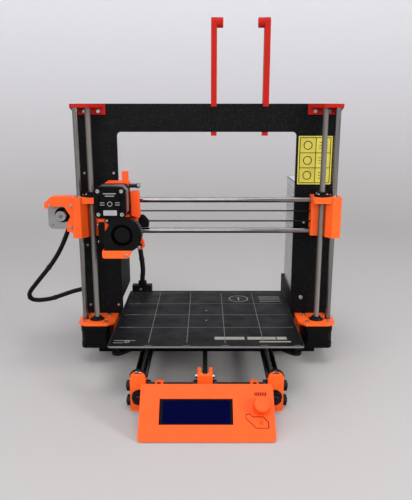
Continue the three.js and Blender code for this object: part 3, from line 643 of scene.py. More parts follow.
def piece(name, shape, body, looks, bevel=0.0, smooth=40, replaces=()):
    """One Blender object from a shape, riding on a CAD body, or on none if body is None."""
    mesh = bpy.data.meshes.new(name)
    mesh.from_pydata([world(v) for v in shape.verts], [], shape.faces)
    for look in looks if isinstance(looks, (list, tuple)) else [looks]:
        mesh.materials.append(look)
    for polygon, look in zip(mesh.polygons, shape.looks):
        polygon.material_index = look
        polygon.use_smooth = True
    work = bmesh.new()
    work.from_mesh(mesh)
    bmesh.ops.recalc_face_normals(work, faces=work.faces)
    work.to_mesh(mesh)
    work.free()
    mesh.set_sharp_from_angle(angle=math.radians(smooth))
    made = bpy.data.objects.new(name, mesh)
    bpy.context.scene.collection.objects.link(made)
    if bevel:
        soften(made, bevel)
    if body:
        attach(made, body)
    if replaces:
        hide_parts(*replaces)
    return made


def soften(made, width):
    """Rounds the edges of an object with a modifier."""
    bevel = made.modifiers.new("edges", "BEVEL")
    bevel.width = width * MM
    bevel.segments = 2
    bevel.limit_method = "ANGLE"
    bevel.angle_limit = math.radians(38)
    bevel.use_clamp_overlap = True
    normals = made.modifiers.new("normals", "WEIGHTED_NORMAL")
    normals.keep_sharp = True


def dress(node, look, bevel=0.5):
    """A CAD node shown as it is, with its own material and rounded edges."""
    made = frame["nodes"][node]
    mesh = made.data
    mesh.materials.clear()
    mesh.materials.append(look)
    if "custom_normal" in mesh.attributes:
        mesh.attributes.remove(mesh.attributes["custom_normal"])
    weld = made.modifiers.new("weld", "WELD")
    weld.merge_threshold = 0.002 * MM
    flat = made.modifiers.new("flat", "DECIMATE")
    flat.decimate_type = "DISSOLVE"
    flat.angle_limit = math.radians(0.6)
    for polygon in mesh.polygons:
        polygon.use_smooth = True
    if bevel:
        soften(made, bevel)


# ---------------------------------------------------------------- shared pieces


def rod(node, axis, body, look=GROUND_STEEL):
    """A round bar that stands for a CAD rod."""
    u, v, radius, start, end = placed(node, axis)
    shape = Shape().bar(axis, u, v, radius, start, end, 0.6)
    piece(node + "_bar", shape, body, look, replaces=[node])


def stepper(node, axis, out, stack, front=ALLOY, boss=ALLOY):
    """A square motor: front and rear castings, laminated middle, boss and screws."""
    u, v, half, start, end = placed(node, axis)
    face = end - 2 if out > 0 else start + 2
    tail = start if out > 0 else end
    length = abs(face - tail)

    def section(a, cut):
        b = a - cut
        points = [(b, -a), (a, -b), (a, b), (b, a), (-b, a), (-a, b), (-a, -b), (-b, -a)]
        return [(u + p, v + q) for p, q in points]

    shape = Shape()
    shape.prism(axis, section(half, 4.5), *outward(face, -out, 0, 8.5))
    shape.prism(axis, section(half - 0.35, 6), *outward(face, -out, 8.5, length - 9), look=1)
    shape.prism(axis, section(half, 4.5), *outward(face, -out, length - 9, length), look=2)
    rows = [(0, -1), (11, -1), (11, 1.6), (10.6, 2), (4.2, 2), (4.2, 1.2), (0, 1.2)]
    shape.turned(axis, u, v, [(r, face + out * t) for r, t in rows], 40, look=4)
    height = 0.9 if length < 30 else 1.2
    for du in MOTOR_SCREWS:
        for dv in MOTOR_SCREWS:
            shape.screw(axis, u + du, v + dv, tail + out * 0.2, -out, 2.7, height, look=3)
    looks = [front, stack, MOTOR_BLACK, BRIGHT_STEEL, boss]
    piece(node + "_case", shape, BODY_OF[node], looks, bevel=0.35, replaces=[node])
    return u, v, face, tail


def toothed_pulley(node, axis, radius, teeth, look=ALLOY):
    """A belt pulley with its flanges, hub and shaft, in the place of a CAD pulley."""
    u, v, _, start, end = placed(node, axis)
    belt = BELT_PLACE[node]
    shape = Shape()
    notch = lambda angle: radius - 0.75 * (0.5 - 0.5 * math.tanh(3 * math.cos(teeth * angle)))
    rows = [(2.6, belt - 3.4), (notch, belt - 3.4), (notch, belt + 3.4), (2.6, belt + 3.4)]
    shape.turned(axis, u, v, rows, teeth * 6, loop=True)
    for side in (-1, 1):
        shape.ring(axis, u, v, 2.6, radius + 1.3, *outward(belt, side, 3.4, 4.2), 40)
    shape.bar(axis, u, v, 2.5, start, end, 0.4, 28, look=1)
    piece(node + "_wheel", shape, BODY_OF[node], [look, GROUND_STEEL], replaces=[node])


def toothed_belt(node, axis, near, far, at, body):
    """A closed belt round two pulleys, each given as (u, v, radius), with its teeth inside."""
    pitch, thick, tooth = 2.0, 1.0, 0.7
    between = Vector(far[:2]) - Vector(near[:2])
    heading = math.atan2(between.y, between.x)
    lean = math.acos((near[2] - far[2]) / between.length)
    straight = math.sqrt(between.length**2 - (near[2] - far[2]) ** 2)
    round_far, round_near = 2 * lean * far[2], (TAU - 2 * lean) * near[2]
    total = 2 * straight + round_far + round_near
    count = int(total / pitch) * 4

    def spot(wheel, angle, extra):
        return Vector(polar(wheel[0], wheel[1], wheel[2] + extra, angle))

    def on_loop(place, extra):
        below, above = heading - lean, heading + lean
        if place < straight:
            return spot(near, below, extra).lerp(spot(far, below, extra), place / straight)
        place -= straight
        if place < round_far:
            return spot(far, below + place / far[2], extra)
        place -= round_far
        if place < straight:
            return spot(far, above, extra).lerp(spot(near, above, extra), place / straight)
        return spot(near, above + (place - straight) / near[2], extra)

    outer = [on_loop(total * i / count, thick) for i in range(count)]
    inner = [on_loop(total * i / count, 0.35 - (tooth if i % 4 < 2 else 0)) for i in range(count)]
    shape = Shape().frame(axis, outer, inner, at - 3, at + 3)
    piece(node + "_loop", shape, body, RUBBER, smooth=30, replaces=[node])


def zip_tie(name, axis, u, v, radius, at, body, knuckle=0.0, width=2.6):
    """A nylon tie round a bar, with its square head at an angle."""
    shape = Shape().ring(axis, u, v, radius, radius + 1.1, *about(at, width / 2), 28, chamfer=0.2)
    head = rounded_about(*polar(u, v, radius + 1.6, knuckle), 2.1, 1.9, 0.5, 2)
    shape.prism(axis, head, *about(at, 2.4))
    piece(name, shape, body, TIE_BLACK, bevel=0.2)


SIDES = ("left", "right")

# A motor's four screws, from its axis.
MOTOR_SCREWS = (-15.5, 15.5)

# The right face of the carriage's bearing block, and the hot end's axis.
CARRIAGE_RIGHT = -97.5
HOT_END_Y = -34

# A rod's radius, its nut's width across flats and its washer's radius.
M8 = (4, 13, 7.2)
M10 = (5, 16, 9.7)

# The cross rods' distance in front of the rear face of a corner block.
CROSS_ROD_INSET = 6

# The photo shows the supply's left wall this much further in than the CAD solid.
SUPPLY_INSET = 2.2

# The knob's height up the sloping face of the display, and the outlines of the slot round the reset flap,
# between which a dark strip is laid as painted shade of the slot.
KNOB_UP = 40.6
FLAP_OUTER = [(44.9, 31.6), (44.9, 26.9), (56.75, 15.5), (71.5, 15.5),
              (71.5, 23.15), (65.6, 29.5), (53.65, 29.5), (49.6, 33.2)]
FLAP_INNER = [(45.7, 31.3), (45.7, 27.25), (57.05, 16.3), (70.7, 16.3),
              (70.7, 22.85), (65.25, 28.7), (53.35, 28.7), (49.45, 32.35)]

BODY_OF = {node: body for body, nodes in frame["record"]["behaviour"]["bodies"].items() for node in nodes}
X_BELT_AT = middle("x_belt").y
Y_BELT_AT = middle("y_belt").x
BELT_PLACE = {
    "x_motor_pulley": X_BELT_AT,
    "x_idler_pulley": X_BELT_AT,
    "y_motor_pulley": Y_BELT_AT,
    "y_idler_pulley": Y_BELT_AT,
}


# ---------------------------------------------------------------- frame plate and its fittings


def frame_plate():
    """The upright plate, with the screws that hold the box and the supply to it."""
    dress("frame_plate", POWDER, 0.6)
    shape = Shape()
    back = limits("frame_plate")[1].y
    places = [(-176.8, 277.5), (-134.4, 277.5), (-177, 171.4), (-177.2, 77.4), (-134.6, 77.4), (142.8, 205.5)]
    for x, z in places:
        shape.screw("y", x, z, -0.05, -1, 1.9, 1.1)
    shape.screw("y", 143, 89.5, -0.05, -1, 3.1, 2.2)
    for x, z in places[:2]:
        shape.nut("y", x, z, 1.5, 5.5, back + 0.05, back + 2.4)
    piece("frame_screws", shape, "frame", BRIGHT_STEEL)


def label_panel():
    """A plain yellow panel with empty ruled cells."""
    x0, x1, z0, z1 = 131, 179.5, 261.5, 330.5
    line, rim, level = 0.9, 2.4, (-0.5, -0.3)
    shape = Shape().prism("y", rounded(x0, x1, z0, z1, 1.2, 3), -0.35, -0.05)
    left, right, low, high = x0 + rim, x1 - rim, z0 + rim, z1 - rim
    middle_x = left + (right - left) * 0.52
    rows = [low + (high - low) * i / 3 for i in range(4)]
    for z in rows:
        shape.block((left, right), level, about(z, line / 2), look=1)
    for x in (left, middle_x, right):
        shape.block(about(x, line / 2), level, (low, high), look=1)
    for z in rows[:-1]:
        centre = z + (high - low) / 6
        shape.ring("y", (left + middle_x) / 2, centre, 5.2, 6.3, *level, 32, look=1, chamfer=0.01)
        for i in range(3):
            shape.block((middle_x + 4.5, right - 4.5), level, about(centre + 4 - i * 4, 0.4), look=1)
    piece("side_panel", shape, "frame", [YELLOW, PLATE_BLACK])


# ---------------------------------------------------------------- Z drives


def z_drive(side, sign):
    """One side's brackets, rod, motor and threaded leadscrew with its collar and screws."""
    dress(f"z_top_{side}", RED, 0.5)
    dress(f"z_bottom_{side}", ORANGE, 0.6)
    rod(f"z_smooth_rod_{side}", "z", "frame")
    x, y = stepper(f"z_motor_{side}", "z", 1, MOTOR_BLACK, MOTOR_BLACK)[:2]
    low, high = limits(f"leadscrew_{side}")
    shape = Shape().thread("z", x, y, 4, 2, low.z, high.z, starts=4, depth=0.8, sides=32, per_pitch=5)
    piece(f"leadscrew_{side}_thread", shape, f"leadscrew_{side}", THREAD_STEEL, smooth=60,
          replaces=[f"leadscrew_{side}"])
    shelf = limits(f"z_bottom_{side}")[1].z
    rows = [(4.3, -1), (9.6, -1), (9.4, 0.6), (5.6, 4.6), (4.3, 4.6)]
    collar = Shape().turned("z", x, y, [(r, shelf + t) for r, t in rows], 36, loop=True)
    piece(f"leadscrew_collar_{side}", collar, "frame", FAN_BLACK)
    screws = Shape()
    for dx in MOTOR_SCREWS:
        for dy in MOTOR_SCREWS:
            if dy > 0 or dx * sign < 0:
                screws.screw("z", x + dx, y + dy, shelf + 0.02, 1, 2.75, 2.6)
    screws.screw("z", x + sign * 16.6, y - 12.5, shelf + 0.02, 1, 2.3, 2.2)
    for reach in (152.4, 172.6):
        screws.screw("y", sign * reach, 364.6, -4.02, -1, 2.7, 1.6)
    piece(f"z_screws_{side}", screws, "frame", BRIGHT_STEEL)


def z_nut(side):
    """The leadscrew's flanged nut on top of the gantry end."""
    x, y = middle(f"leadscrew_{side}").xy
    top = limits(f"x_end_{side}")[1].z
    shape = Shape().ring("z", x, y, 4.4, 11, top + 0.05, top + 3.4, 40)
    shape.ring("z", x, y, 4.4, 6.6, top + 3.3, top + 7, 32)
    for quarter in range(4):
        place = polar(x, y, 8.4, TAU * (quarter + 0.5) / 4)
        shape.screw("z", *place, top + 3.3, 1, 1.9, 1.5, look=1)
    piece(f"leadscrew_nut_{side}", shape, "gantry", [FAN_BLACK, BRIGHT_STEEL])


# ---------------------------------------------------------------- gantry


def x_axis():
    """Gantry ends, rods, belt and pulleys, the motor with its socket, and the ends' bearings."""
    for place in ("upper", "lower"):
        rod(f"x_smooth_rod_{place}", "x", "gantry")
    low, high = limits("x_belt")
    reach = (high.z - low.z) / 2
    level, wheel = middle("x_belt").z, reach - 1.05
    near, far = (low.x + reach, level, wheel), (high.x - reach, level, wheel)
    toothed_belt("x_belt", "y", near, far, X_BELT_AT, "gantry")
    toothed_pulley("x_motor_pulley", "y", 6.3, 20, DULL_ALLOY)
    toothed_pulley("x_idler_pulley", "y", 6.3, 20)
    # The motor's boss is drawn black, not alloy: painted shade for the dark patch behind the pulley.
    x, z, face, _ = stepper("x_motor", "y", -1, LAMINATED_Y, DULL_ALLOY, MOTOR_BLACK)
    socket = Shape().block(about(x, 8), (26, 36), (z - 25.5, z - 21.2))
    piece("x_motor_socket", socket, "gantry", WHITE_NYLON, bevel=0.4)
    screws = Shape()
    for dx, dz in ((-13.6, 15.5), (16.7, 15.5), (16, -15)):
        screws.screw("y", x + dx, z + dz, -18.52, -1, 2.4, 1.2)
    screws.screw("y", x - 15.5, z - 15.5, face - 0.02, -1, 2.2, 0.8)
    piece("x_end_screws", screws, "gantry", BRIGHT_STEEL)
    for side in SIDES:
        dress(f"x_end_{side}", ORANGE, 0.7)
        z_nut(side)
        rod_x, rod_y = middle(f"z_smooth_rod_{side}").xy
        low, high = limits(f"x_end_{side}")
        shape = Shape()
        for face, out in ((high.z, 1), (low.z, -1)):
            shape.ring("z", rod_x, rod_y, 4.3, 7.4, *outward(face, out, -0.05, 0.9), 36)
        piece(f"z_bearings_{side}", shape, "gantry", GROUND_STEEL)


# ---------------------------------------------------------------- carriage and extruder


def x_carriage():
    dress("x_carriage", BLACK_PRINT, 0.7)
    shape = Shape()
    for place in ("upper", "lower"):
        z = middle(f"x_smooth_rod_{place}").z
        for face, out in ((limits("x_carriage")[0].x, -1), (CARRIAGE_RIGHT, 1)):
            shape.ring("x", X_BELT_AT, z, 4.3, 7.4, *outward(face, out, -0.1, 0.9), 36)
            shape.ring("x", X_BELT_AT, z, 4.25, 5.4, *outward(face, out, -0.2, 1), 36, look=1)
    piece("x_bearings", shape, "carriage", [GROUND_STEEL, SOCKET_BLACK])


def extruder():
    # The darker orange print here is painted shade.
    for node in ("extruder_body", "idler_door"):
        dress(node, ORANGE_FLAT_PAINTED_SHADE, 0.45)
    x, z, _, tail = stepper("extruder_motor", "y", 1, LAMINATED_Y, MOTOR_BLACK)
    motor_plate(x, z, tail)
    drive_gear()
    tension_screws()
    body_screws()


def motor_plate(x, z, tail):
    """The extruder motor's black label plate, with plain bars, a ring and an empty panel."""
    thick, ink = (tail - 0.45, tail - 0.02), (tail - 0.6, tail - 0.4)
    plate = Shape().prism("y", rounded_about(x, z, 14.3, 20.3, 1.6), *thick)
    for side in (-1, 1):
        plate.prism("y", rounded_about(x + side * 17, z, 3.6, 10.5, 1.2), *thick)
    for dz, half in ((12.5, 8.5), (9.4, 6)):
        plate.block(about(x, half), ink, about(z + dz, 0.5), look=1)
    plate.ring("y", x, z - 1.2, 2.6, 3.3, *ink, 28, look=1, chamfer=0.01)
    for side in (-1, 1):
        for dz in (0.6, -2.4):
            plate.block(about(x + side * 10, 3), ink, about(z + dz, 0.35), look=1)
    plate.prism("y", rounded_about(x, z - 13, 9, 3.5, 1), *ink, look=1)
    piece("extruder_motor_plate", plate, "carriage", [PLATE_BLACK, PALE_INK])


def drive_gear():
    """The toothed gear that grips the filament, and the bearing that presses against it."""
    x, _, z = middle("drive_gear")
    grip = middle("idler_bearing").y
    teeth = lambda depth: (lambda angle: 6 - depth - 0.5 * (0.5 - 0.5 * math.cos(24 * angle)))
    rows = [(0, -4.8), (5.8, -4.8), (5.9, -2.2), (teeth(0), -1.6), (teeth(0.6), 0),
            (teeth(0), 1.6), (5.9, 2.2), (5.8, 4.8), (0, 4.8)]
    gear = Shape().turned("y", x, z, [(r, grip + t) for r, t in rows], 144)
    gear.bar("y", x, z, 2.5, limits("drive_gear")[0].y, grip - 4.7, 0.2, 28)
    piece("drive_gear_teeth", gear, "drive_gear", BRIGHT_STEEL, replaces=["drive_gear"])
    x, _, z = middle("idler_bearing")
    ring = Shape().ring("y", x, z, 5.2, 6.5, *about(grip, 2.5), 40)
    ring.ring("y", x, z, 2.2, 3.4, *about(grip, 2.5), 32)
    ring.ring("y", x, z, 3.4, 5.2, *about(grip, 2.1), 32, look=1, chamfer=0.01)
    piece("idler_bearing_rings", ring, "idler_bearing", [BRIGHT_STEEL, SOCKET_BLACK],
          replaces=["idler_bearing"])


def tension_screws():
    """Two long screws with springs that pull the idler door shut."""
    z = 263.9
    head = [(0, -96), (2.75, -96), (2.75, -93.2), (2.4, -92.9), (1.5, -92.9), (1.3, -94.2), (0, -94.2)]
    turns, start, end = 6, -107.8, -97.6
    for name, y in (("front", -37.4), ("rear", -28)):
        shape = Shape().bar("x", y, z, 1.5, -119, -94.6, 0.3, 20, look=1)
        shape.turned("x", y, z, head, 24)
        shape.ring("x", y, z, 1.6, 3.2, -97.4, -96.4, 24, look=1)
        steps = turns * 12
        along = [start + (end - start) * i / steps for i in range(steps + 1)]
        path = [(x, *polar(y, z, 2.4, TAU * i / 12)) for i, x in enumerate(along)]
        shape.sweep(path, 0.42, 8, look=1)
        piece(f"tension_screw_{name}", shape, "carriage", [GROUND_STEEL, BLACK_STEEL], smooth=50)


def body_screws():
    """Screws in the extruder's front, in the blower's two ears and in the duct."""
    shape = Shape()
    shape.screw("y", -137.5, 219, -42.02, -1, 2.2, 1.3)
    ears = limits("print_fan")[0].y + 9.9
    for x, z, r in ((-134.6, 221.4, 2), (-92.1, 184.6, 2.3)):
        shape.screw("y", x, z, ears, -1, r, 1.5)
    shape.screw("y", -108.6, 174.8, limits("fan_nozzle")[0].y - 0.02, -1, 2.2, 1.3)
    piece("extruder_screws", shape, "carriage", BRIGHT_STEEL)


def hot_end():
    """The nozzle, the heater block with its heater and wires, and the finned heat sink."""
    low, high = limits("hotend")
    x, y = (low.x + high.x) / 2, HOT_END_Y
    tip = low.z
    flats = hexagon(6.2)
    rows = [(0.35, 0), (0.9, 0), (2.1, 2.2), (2.1, 2.6), (flats, 2.7), (flats, 5), (0.35, 5)]
    nozzle = Shape().turned("z", x, y, [(r, tip + t) for r, t in rows], 36, loop=True)
    piece("nozzle", nozzle, "carriage", BRASS)
    heater = Shape().prism("z", rounded_about(x, y + 1, 8, 10, 0.6, 2), tip + 3.2, tip + 14.5)
    heater.bar("x", y + 6.5, tip + 8, 3, *about(x, 9.4), 0.3, 24, look=1)
    heater.screw("x", y + 6.5, tip + 12.2, x + 8, 1, 1.5, 1, look=1)
    for dy in (4.8, 8.2):
        bends = [(-9.2, dy, 8), (-11.5, dy + 1.5, 9), (-12, dy + 3, 14), (-11.6, 11.4, 19)]
        heater.sweep(smooth_route([(x + a, y + b, tip + c) for a, b, c in bends]), 0.8, 10, look=2)
    piece("heater_block", heater, "carriage", [ALLOY, BRIGHT_STEEL, RUBBER], bevel=0.2)
    rows = [(0, 14.4), (1.6, 14.4), (1.6, 20), (4.5, 20)]
    for fin in range(11):
        base = 20 + fin * 2.4
        rows += [(11.1, base), (11.1, base + 1), (4.5, base + 1), (4.5, base + 2.4)]
    rows += [(8, 46.4), (8, 49.4), (6, 49.4), (6, 51.6), (0, 51.6)]
    sink = Shape().turned("z", x, y, [(r, tip + t) for r, t in rows], 40)
    piece("heat_sink", sink, "carriage", ALLOY, smooth=30, replaces=["hotend"])


def square_fan():
    """The hot end's fan: its frame, spokes and screws, and the rotor's swept blades."""
    low, high = limits("hotend_fan")
    y, z = (low.y + high.y) / 2, (low.z + high.z) / 2
    outer = rounded_about(y, z, 15, 15, 2.6, 8)
    opening = [polar(y, z, 13.7, math.atan2(q - z, p - y)) for p, q in outer]
    shape = Shape().frame("x", outer, opening, low.x, high.x)
    for i in range(4):
        angle = TAU * i / 4 + 0.5
        path = [(high.x - 1, *polar(y, z, r, angle + (r - 6) * 0.03)) for r in (6, 8, 10, 12, 14)]
        shape.sweep(path, 0.8, 8)
    shape.bar("x", y, z, 6.6, high.x - 1.8, high.x - 0.1, 0.3, 32)
    for dy in (-12, 12):
        for dz in (-12, 12):
            shape.screw("x", y + dy, z + dz, low.x - 0.02, -1, 2.2, 1.2, look=1)
    piece("hotend_fan_frame", shape, "carriage", [FAN_BLACK, BRIGHT_STEEL], bevel=0.25,
          replaces=["hotend_fan"])
    start, end = low.x, high.x - 2.1
    rows = [(0, start + 0.6), (5.8, start + 0.6), (6.6, start + 1.4), (6.6, end), (0, end)]
    rotor = Shape().turned("x", y, z, rows, 36)
    for blade in range(7):
        fan_blade(rotor, y, z, start + 1.4, TAU * blade / 7)
    piece("hotend_fan_blades", rotor, "hotend_fan_rotor", FAN_BLACK,
          replaces=["hotend_fan_rotor"])


def fan_blade(rotor, y, z, front, base):
    """One swept blade: four rows outward by four steps along the shaft, with two sides."""
    verts = []
    for r in (6.3, 8.5, 10.8, 13.1):
        for t, lead in ((0.0, -0.30), (0.35, -0.12), (0.7, 0.1), (1.0, 0.34)):
            angle = base + lead + (r - 6) * 0.035
            at_y, at_z = polar(y, z, r, angle)
            for thick in (-0.35, 0.35):
                across, up = thick * math.sin(angle), thick * math.cos(angle)
                verts.append((front + t * 6 + thick * 0.4, at_y - across, at_z + up))
    faces = []
    wide = 8
    for a in range(3):
        for b in range(3):
            i = a * wide + b * 2
            faces += [[i, i + 2, i + wide + 2, i + wide], [i + 1, i + 3, i + wide + 3, i + wide + 1]]
    for a in range(3):
        for b in (0, 6):
            i = a * wide + b
            faces.append([i, i + 1, i + wide + 1, i + wide])
    for b in range(3):
        for a in (0, 3):
            i = a * wide + b * 2
            faces.append([i, i + 1, i + 3, i + 2])
    rotor.add(verts, faces)


def blower():
    """The print fan's housing, its wheel, the raised ring round its intake, and the duct."""
    dress("print_fan", FAN_BLACK, 0.5)
    x, z, _, front, back = placed("print_fan_rotor", "y")
    rows = [(0, front), (10.4, front), (11, front + 0.7), (11, back - 1), (0, back - 1)]
    wheel = Shape().turned("y", x, z, rows, 48)
    wheel.ring("y", x, z, 10.5, 18, back - 1.4, back, 48)
    wheel.ring("y", x, z, 16.6, 18, front + 0.5, front + 1.5, 48)
    lean, thick = 0.12, 0.045
    for vane in range(30):
        angle = TAU * vane / 30
        corners = ((13.6, 0), (18, lean), (18, lean + thick), (13.6, thick))
        wheel.prism("y", [polar(x, z, r, angle + turn) for r, turn in corners], front + 1, back - 1.3)
    piece("print_fan_wheel", wheel, "print_fan_rotor", FAN_BLACK, replaces=["print_fan_rotor"])
    face = limits("print_fan")[0].y
    trim = Shape().ring("y", x, z, 14.9, 16, face - 0.3, face + 0.2, 64, chamfer=0.2)
    piece("print_fan_ring", trim, "carriage", FAN_BLACK)
    dress("fan_nozzle", ORANGE, 0.5)


# ---------------------------------------------------------------- bed


def heated_bed():
    """The bed's board, the grid and marks printed on it, its pale edge, and its cable clamp's screw."""
    dress("heated_bed", BED_MASK, 0.35)
    low, high = limits("heated_bed")
    centre_x, centre_y = (low.x + high.x) / 2, (low.y + high.y) / 2
    top = high.z
    level = (top - 0.02, top + 0.05)
    bed_grid(centre_x, centre_y, low.y, level)
    outer = rounded(low.x - 0.02, high.x + 0.02, low.y - 0.02, high.y + 0.02, 3)
    inner = rounded(low.x + 0.6, high.x - 0.6, low.y + 0.6, high.y - 0.6, 2.4)
    piece("bed_edge", Shape().frame("z", outer, inner, low.z + 0.5, top - 0.1), "bed", BED_EDGE)
    pegs = Shape()
    for dy in (18.3, -22.7):
        pegs.bar("z", centre_x + 0.5, centre_y + dy, 1.2, top - 0.2, top + 0.1, 0.04, 16)
    piece("bed_magnet_dots", pegs, "bed", PALE_INK)
    bed_marks(centre_x, low.y, level)
    dress("bed_cable_clamp", BLACK_PRINT, 0.7)
    fixings = Shape().screw("y", -109.5, 77, limits("bed_cable_clamp")[0].y - 0.02, -1, 2.2, 1.2)
    piece("bed_clamp_screws", fixings, "bed", BRIGHT_STEEL)


def bed_grid(centre_x, centre_y, front, level):
    """Thin lines 50 mm apart, with short ticks along the front and the left."""
    line, tick = 0.45, (front + 2.2, front + 3.4)
    lines = Shape()
    for dx in (-75, -25, 25, 75):
        lines.block(about(centre_x + dx, line), (centre_y - 104.5, centre_y + 102.75), level)
        lines.block(about(centre_x + dx, 4.5), tick, level)
    lines.block((centre_x + 114, centre_x + 123), tick, level)
    for dy, reach in ((-50, 121), (0, 121), (50, 121), (102.75, 124.2)):
        lines.block(about(centre_x, reach), about(centre_y + dy, line), level)
        if dy <= 50:
            raised = (level[0], level[1] + 0.03)
            lines.block((centre_x - 110, centre_x - 102), about(centre_y + dy, 0.9), raised)
    piece("bed_grid", lines, "bed", BED_INK)


def bed_marks(centre_x, front, level):
    """A plain ring with a bar, sets of plain bars, and a small mark in the front left corner."""
    x, y = 51, 43
    marks = Shape().frame("z", round_outline(x, y, 15.5, 48), round_outline(x, y, 14, 48), *level)
    marks.block(about(x, 1), about(y, 8), level)
    for y, half in ((31, 1.3), (41, 1), (47, 1), (53, 1)):
        marks.block((84, 117), about(y, half), level)
    left = centre_x - 121
    bars = [((10.5, 50), 21.9, 31.1), ((54, 91.5), 21.9, 31.1), ((93, 106), 21.9, 31.1),
            ((69, 110), 13, 16.7), ((left, left + 28), 18, 19.2), ((left, left + 13), 10.6, 11.8)]
    for span, near, far in bars:
        marks.block(span, (front + near, front + far), level)
    marks.ring("z", centre_x - 103.5, front + 14.6, 2.2, 3.4, *level, 24, chamfer=0.01)
    piece("bed_marks", marks, "bed", MARK_INK)


def bed_slide():
    """The plate under the bed, its linear bearings with their ties, and the belt's holder."""
    dress("y_carriage", POWDER, 0.5)
    for name, side, start in (("front_left", "left", -49), ("rear_left", "left", 1), ("right", "right", -24)):
        x, _, z = middle(f"y_smooth_rod_{side}")
        shape = Shape().ring("y", x, z, 7.3, 7.75, start + 0.6, start + 23.4, 40, chamfer=0.1)
        for end in (start - 0.35, start + 23.7):
            shape.ring("y", x, z, 4.25, 7.6, end, end + 0.65, 40, chamfer=0.1)
        for end in (start - 0.5, start + 24.1):
            shape.ring("y", x, z, 4.2, 5.5, end, end + 0.4, 36, look=1, chamfer=0.05)
        piece(f"y_bearing_{name}", shape, "bed", [GROUND_STEEL, SOCKET_BLACK])
        knuckle = math.radians(200 if x < 0 else -20)
        for tie, at in (("a", start + 6), ("b", start + 18)):
            zip_tie(f"y_bearing_tie_{name}_{tie}", "y", x, z, 7.85, at, "bed", knuckle)
    span, jaw = (-32, -3), (41.5, 49.1)
    left, right = about(Y_BELT_AT, 5.2)
    holder = Shape().block((left, right), span, (49, 56.9))
    holder.block((left, Y_BELT_AT - 3.4), span, jaw)
    holder.block((Y_BELT_AT + 3.4, right), span, jaw)
    for y in (-27, -8):
        holder.screw("x", y, 52.5, left, -1, 2.6, 1.6, look=1)
    piece("y_belt_holder", holder, "bed", [ORANGE, BRIGHT_STEEL], bevel=0.5)


# ---------------------------------------------------------------- base frame


def base_frame():
    """Corner blocks with their ties, smooth rods, long threaded rods with their nuts, and the cross rods."""
    for side in SIDES:
        for end in ("front", "rear"):
            dress(f"y_corner_{end}_{side}", ORANGE, 0.8)
        rod(f"y_smooth_rod_{side}", "y", "frame")
        x, z, _, front, back = placed(f"frame_rod_{side}", "y")
        shape = Shape().thread("y", x, z, 5, 1.5, front, back)
        piece(f"frame_rod_{side}_thread", shape, "frame", BLACK_STEEL, smooth=60,
              replaces=[f"frame_rod_{side}"])
        nuts = Shape()
        clamped = ((f"y_corner_front_{side}", 5.4), (f"y_corner_rear_{side}", 5.4), ("frame_plate", 7))
        for node, thick in clamped:
            for corner, out in zip(limits(node), (-1, 1)):
                washer_and_nut(nuts, "y", x, z, corner.y, out, M10, thick)
        piece(f"frame_rod_nuts_{side}", nuts, "frame", BLACK_STEEL)
        rod_tie("front", side, -1)
        rod_tie("rear", side, 1)
    cross_rods()


def rod_tie(end, side, out):
    """A nylon strap over the arch of a corner block."""
    low, high = limits(f"y_corner_{end}_{side}")
    x, crown = middle(f"y_smooth_rod_{side}").x, high.z - 8
    turns = [math.pi * i / 16 for i in range(17)]
    outline = [(x + 10.8 * math.cos(a), crown + 10 * math.sin(a)) for a in turns]
    inner = [(x + 9.6 * math.cos(a), crown + 8.7 * math.sin(a)) for a in turns]
    strap = Shape().prism("y", outline + inner[::-1], *outward(low.y if out < 0 else high.y, -out, 4.6, 8.8))
    piece(f"rod_tie_{end}_{side}", strap, "frame", TIE_BLACK)


def washer_and_nut(shape, axis, u, v, face, out, size, thick):
    """A washer and a nut on a face. size is the rod's radius, the nut's width and the washer's radius."""
    radius, across, washer = size
    shape.ring(axis, u, v, radius - 0.5, washer, *outward(face, out, 0.05, 1.2), 36)
    shape.nut(axis, u, v, radius - 0.5, across, *outward(face, out, 1.25, 1.25 + thick), phase=0.3)


def cross_rods():
    """Four M8 rods that join the corners, with their nuts, at two heights front and rear."""
    left, right = limits("y_corner_front_left"), limits("y_corner_front_right")
    for end, holder in (("front", "y_idler_holder"), ("rear", "y_motor_holder")):
        y = limits(f"y_corner_{end}_left")[1].y - CROSS_ROD_INSET
        for level, z in (("low", 9), ("high", 29)):
            shape = Shape().thread("x", y, z, 4, 1.25, left[0].x - 6.2, right[1].x + 6.2, sides=16)
            for pair in (left, right, limits(holder)):
                for corner, out in zip(pair, (-1, 1)):
                    washer_and_nut(shape, "x", y, z, corner.x, out, M8, 3.9)
            piece(f"cross_rod_{end}_{level}", shape, "frame", BLACK_STEEL, smooth=60)


def y_drive():
    """The belt's two holders, the Y motor, both pulleys, the belt and the idler's bolt."""
    stepper("y_motor", "x", -1, LAMINATED_X, MOTOR_BLACK)
    wheels = []
    for node, radius, teeth in (("y_idler_pulley", 5.1, 16), ("y_motor_pulley", 12.7, 40)):
        toothed_pulley(node, "x", radius, teeth)
        wheels.append((middle(node).y, middle(node).z, radius + 0.25))
    toothed_belt("y_belt", "x", *wheels, Y_BELT_AT, "frame")
    for node in ("y_motor_holder", "y_idler_holder"):
        dress(node, ORANGE, 0.7)
    y, z = wheels[0][:2]
    low, high = limits("y_idler_holder")
    bolt = Shape().screw("x", y, z, low.x - 0.02, -1, 2.9, 3)
    bolt.nut("x", y, z, 1.4, 5.5, high.x + 0.05, high.x + 2.6)
    piece("y_idler_bolt", bolt, "frame", BRIGHT_STEEL)


# ---------------------------------------------------------------- supply and electronics


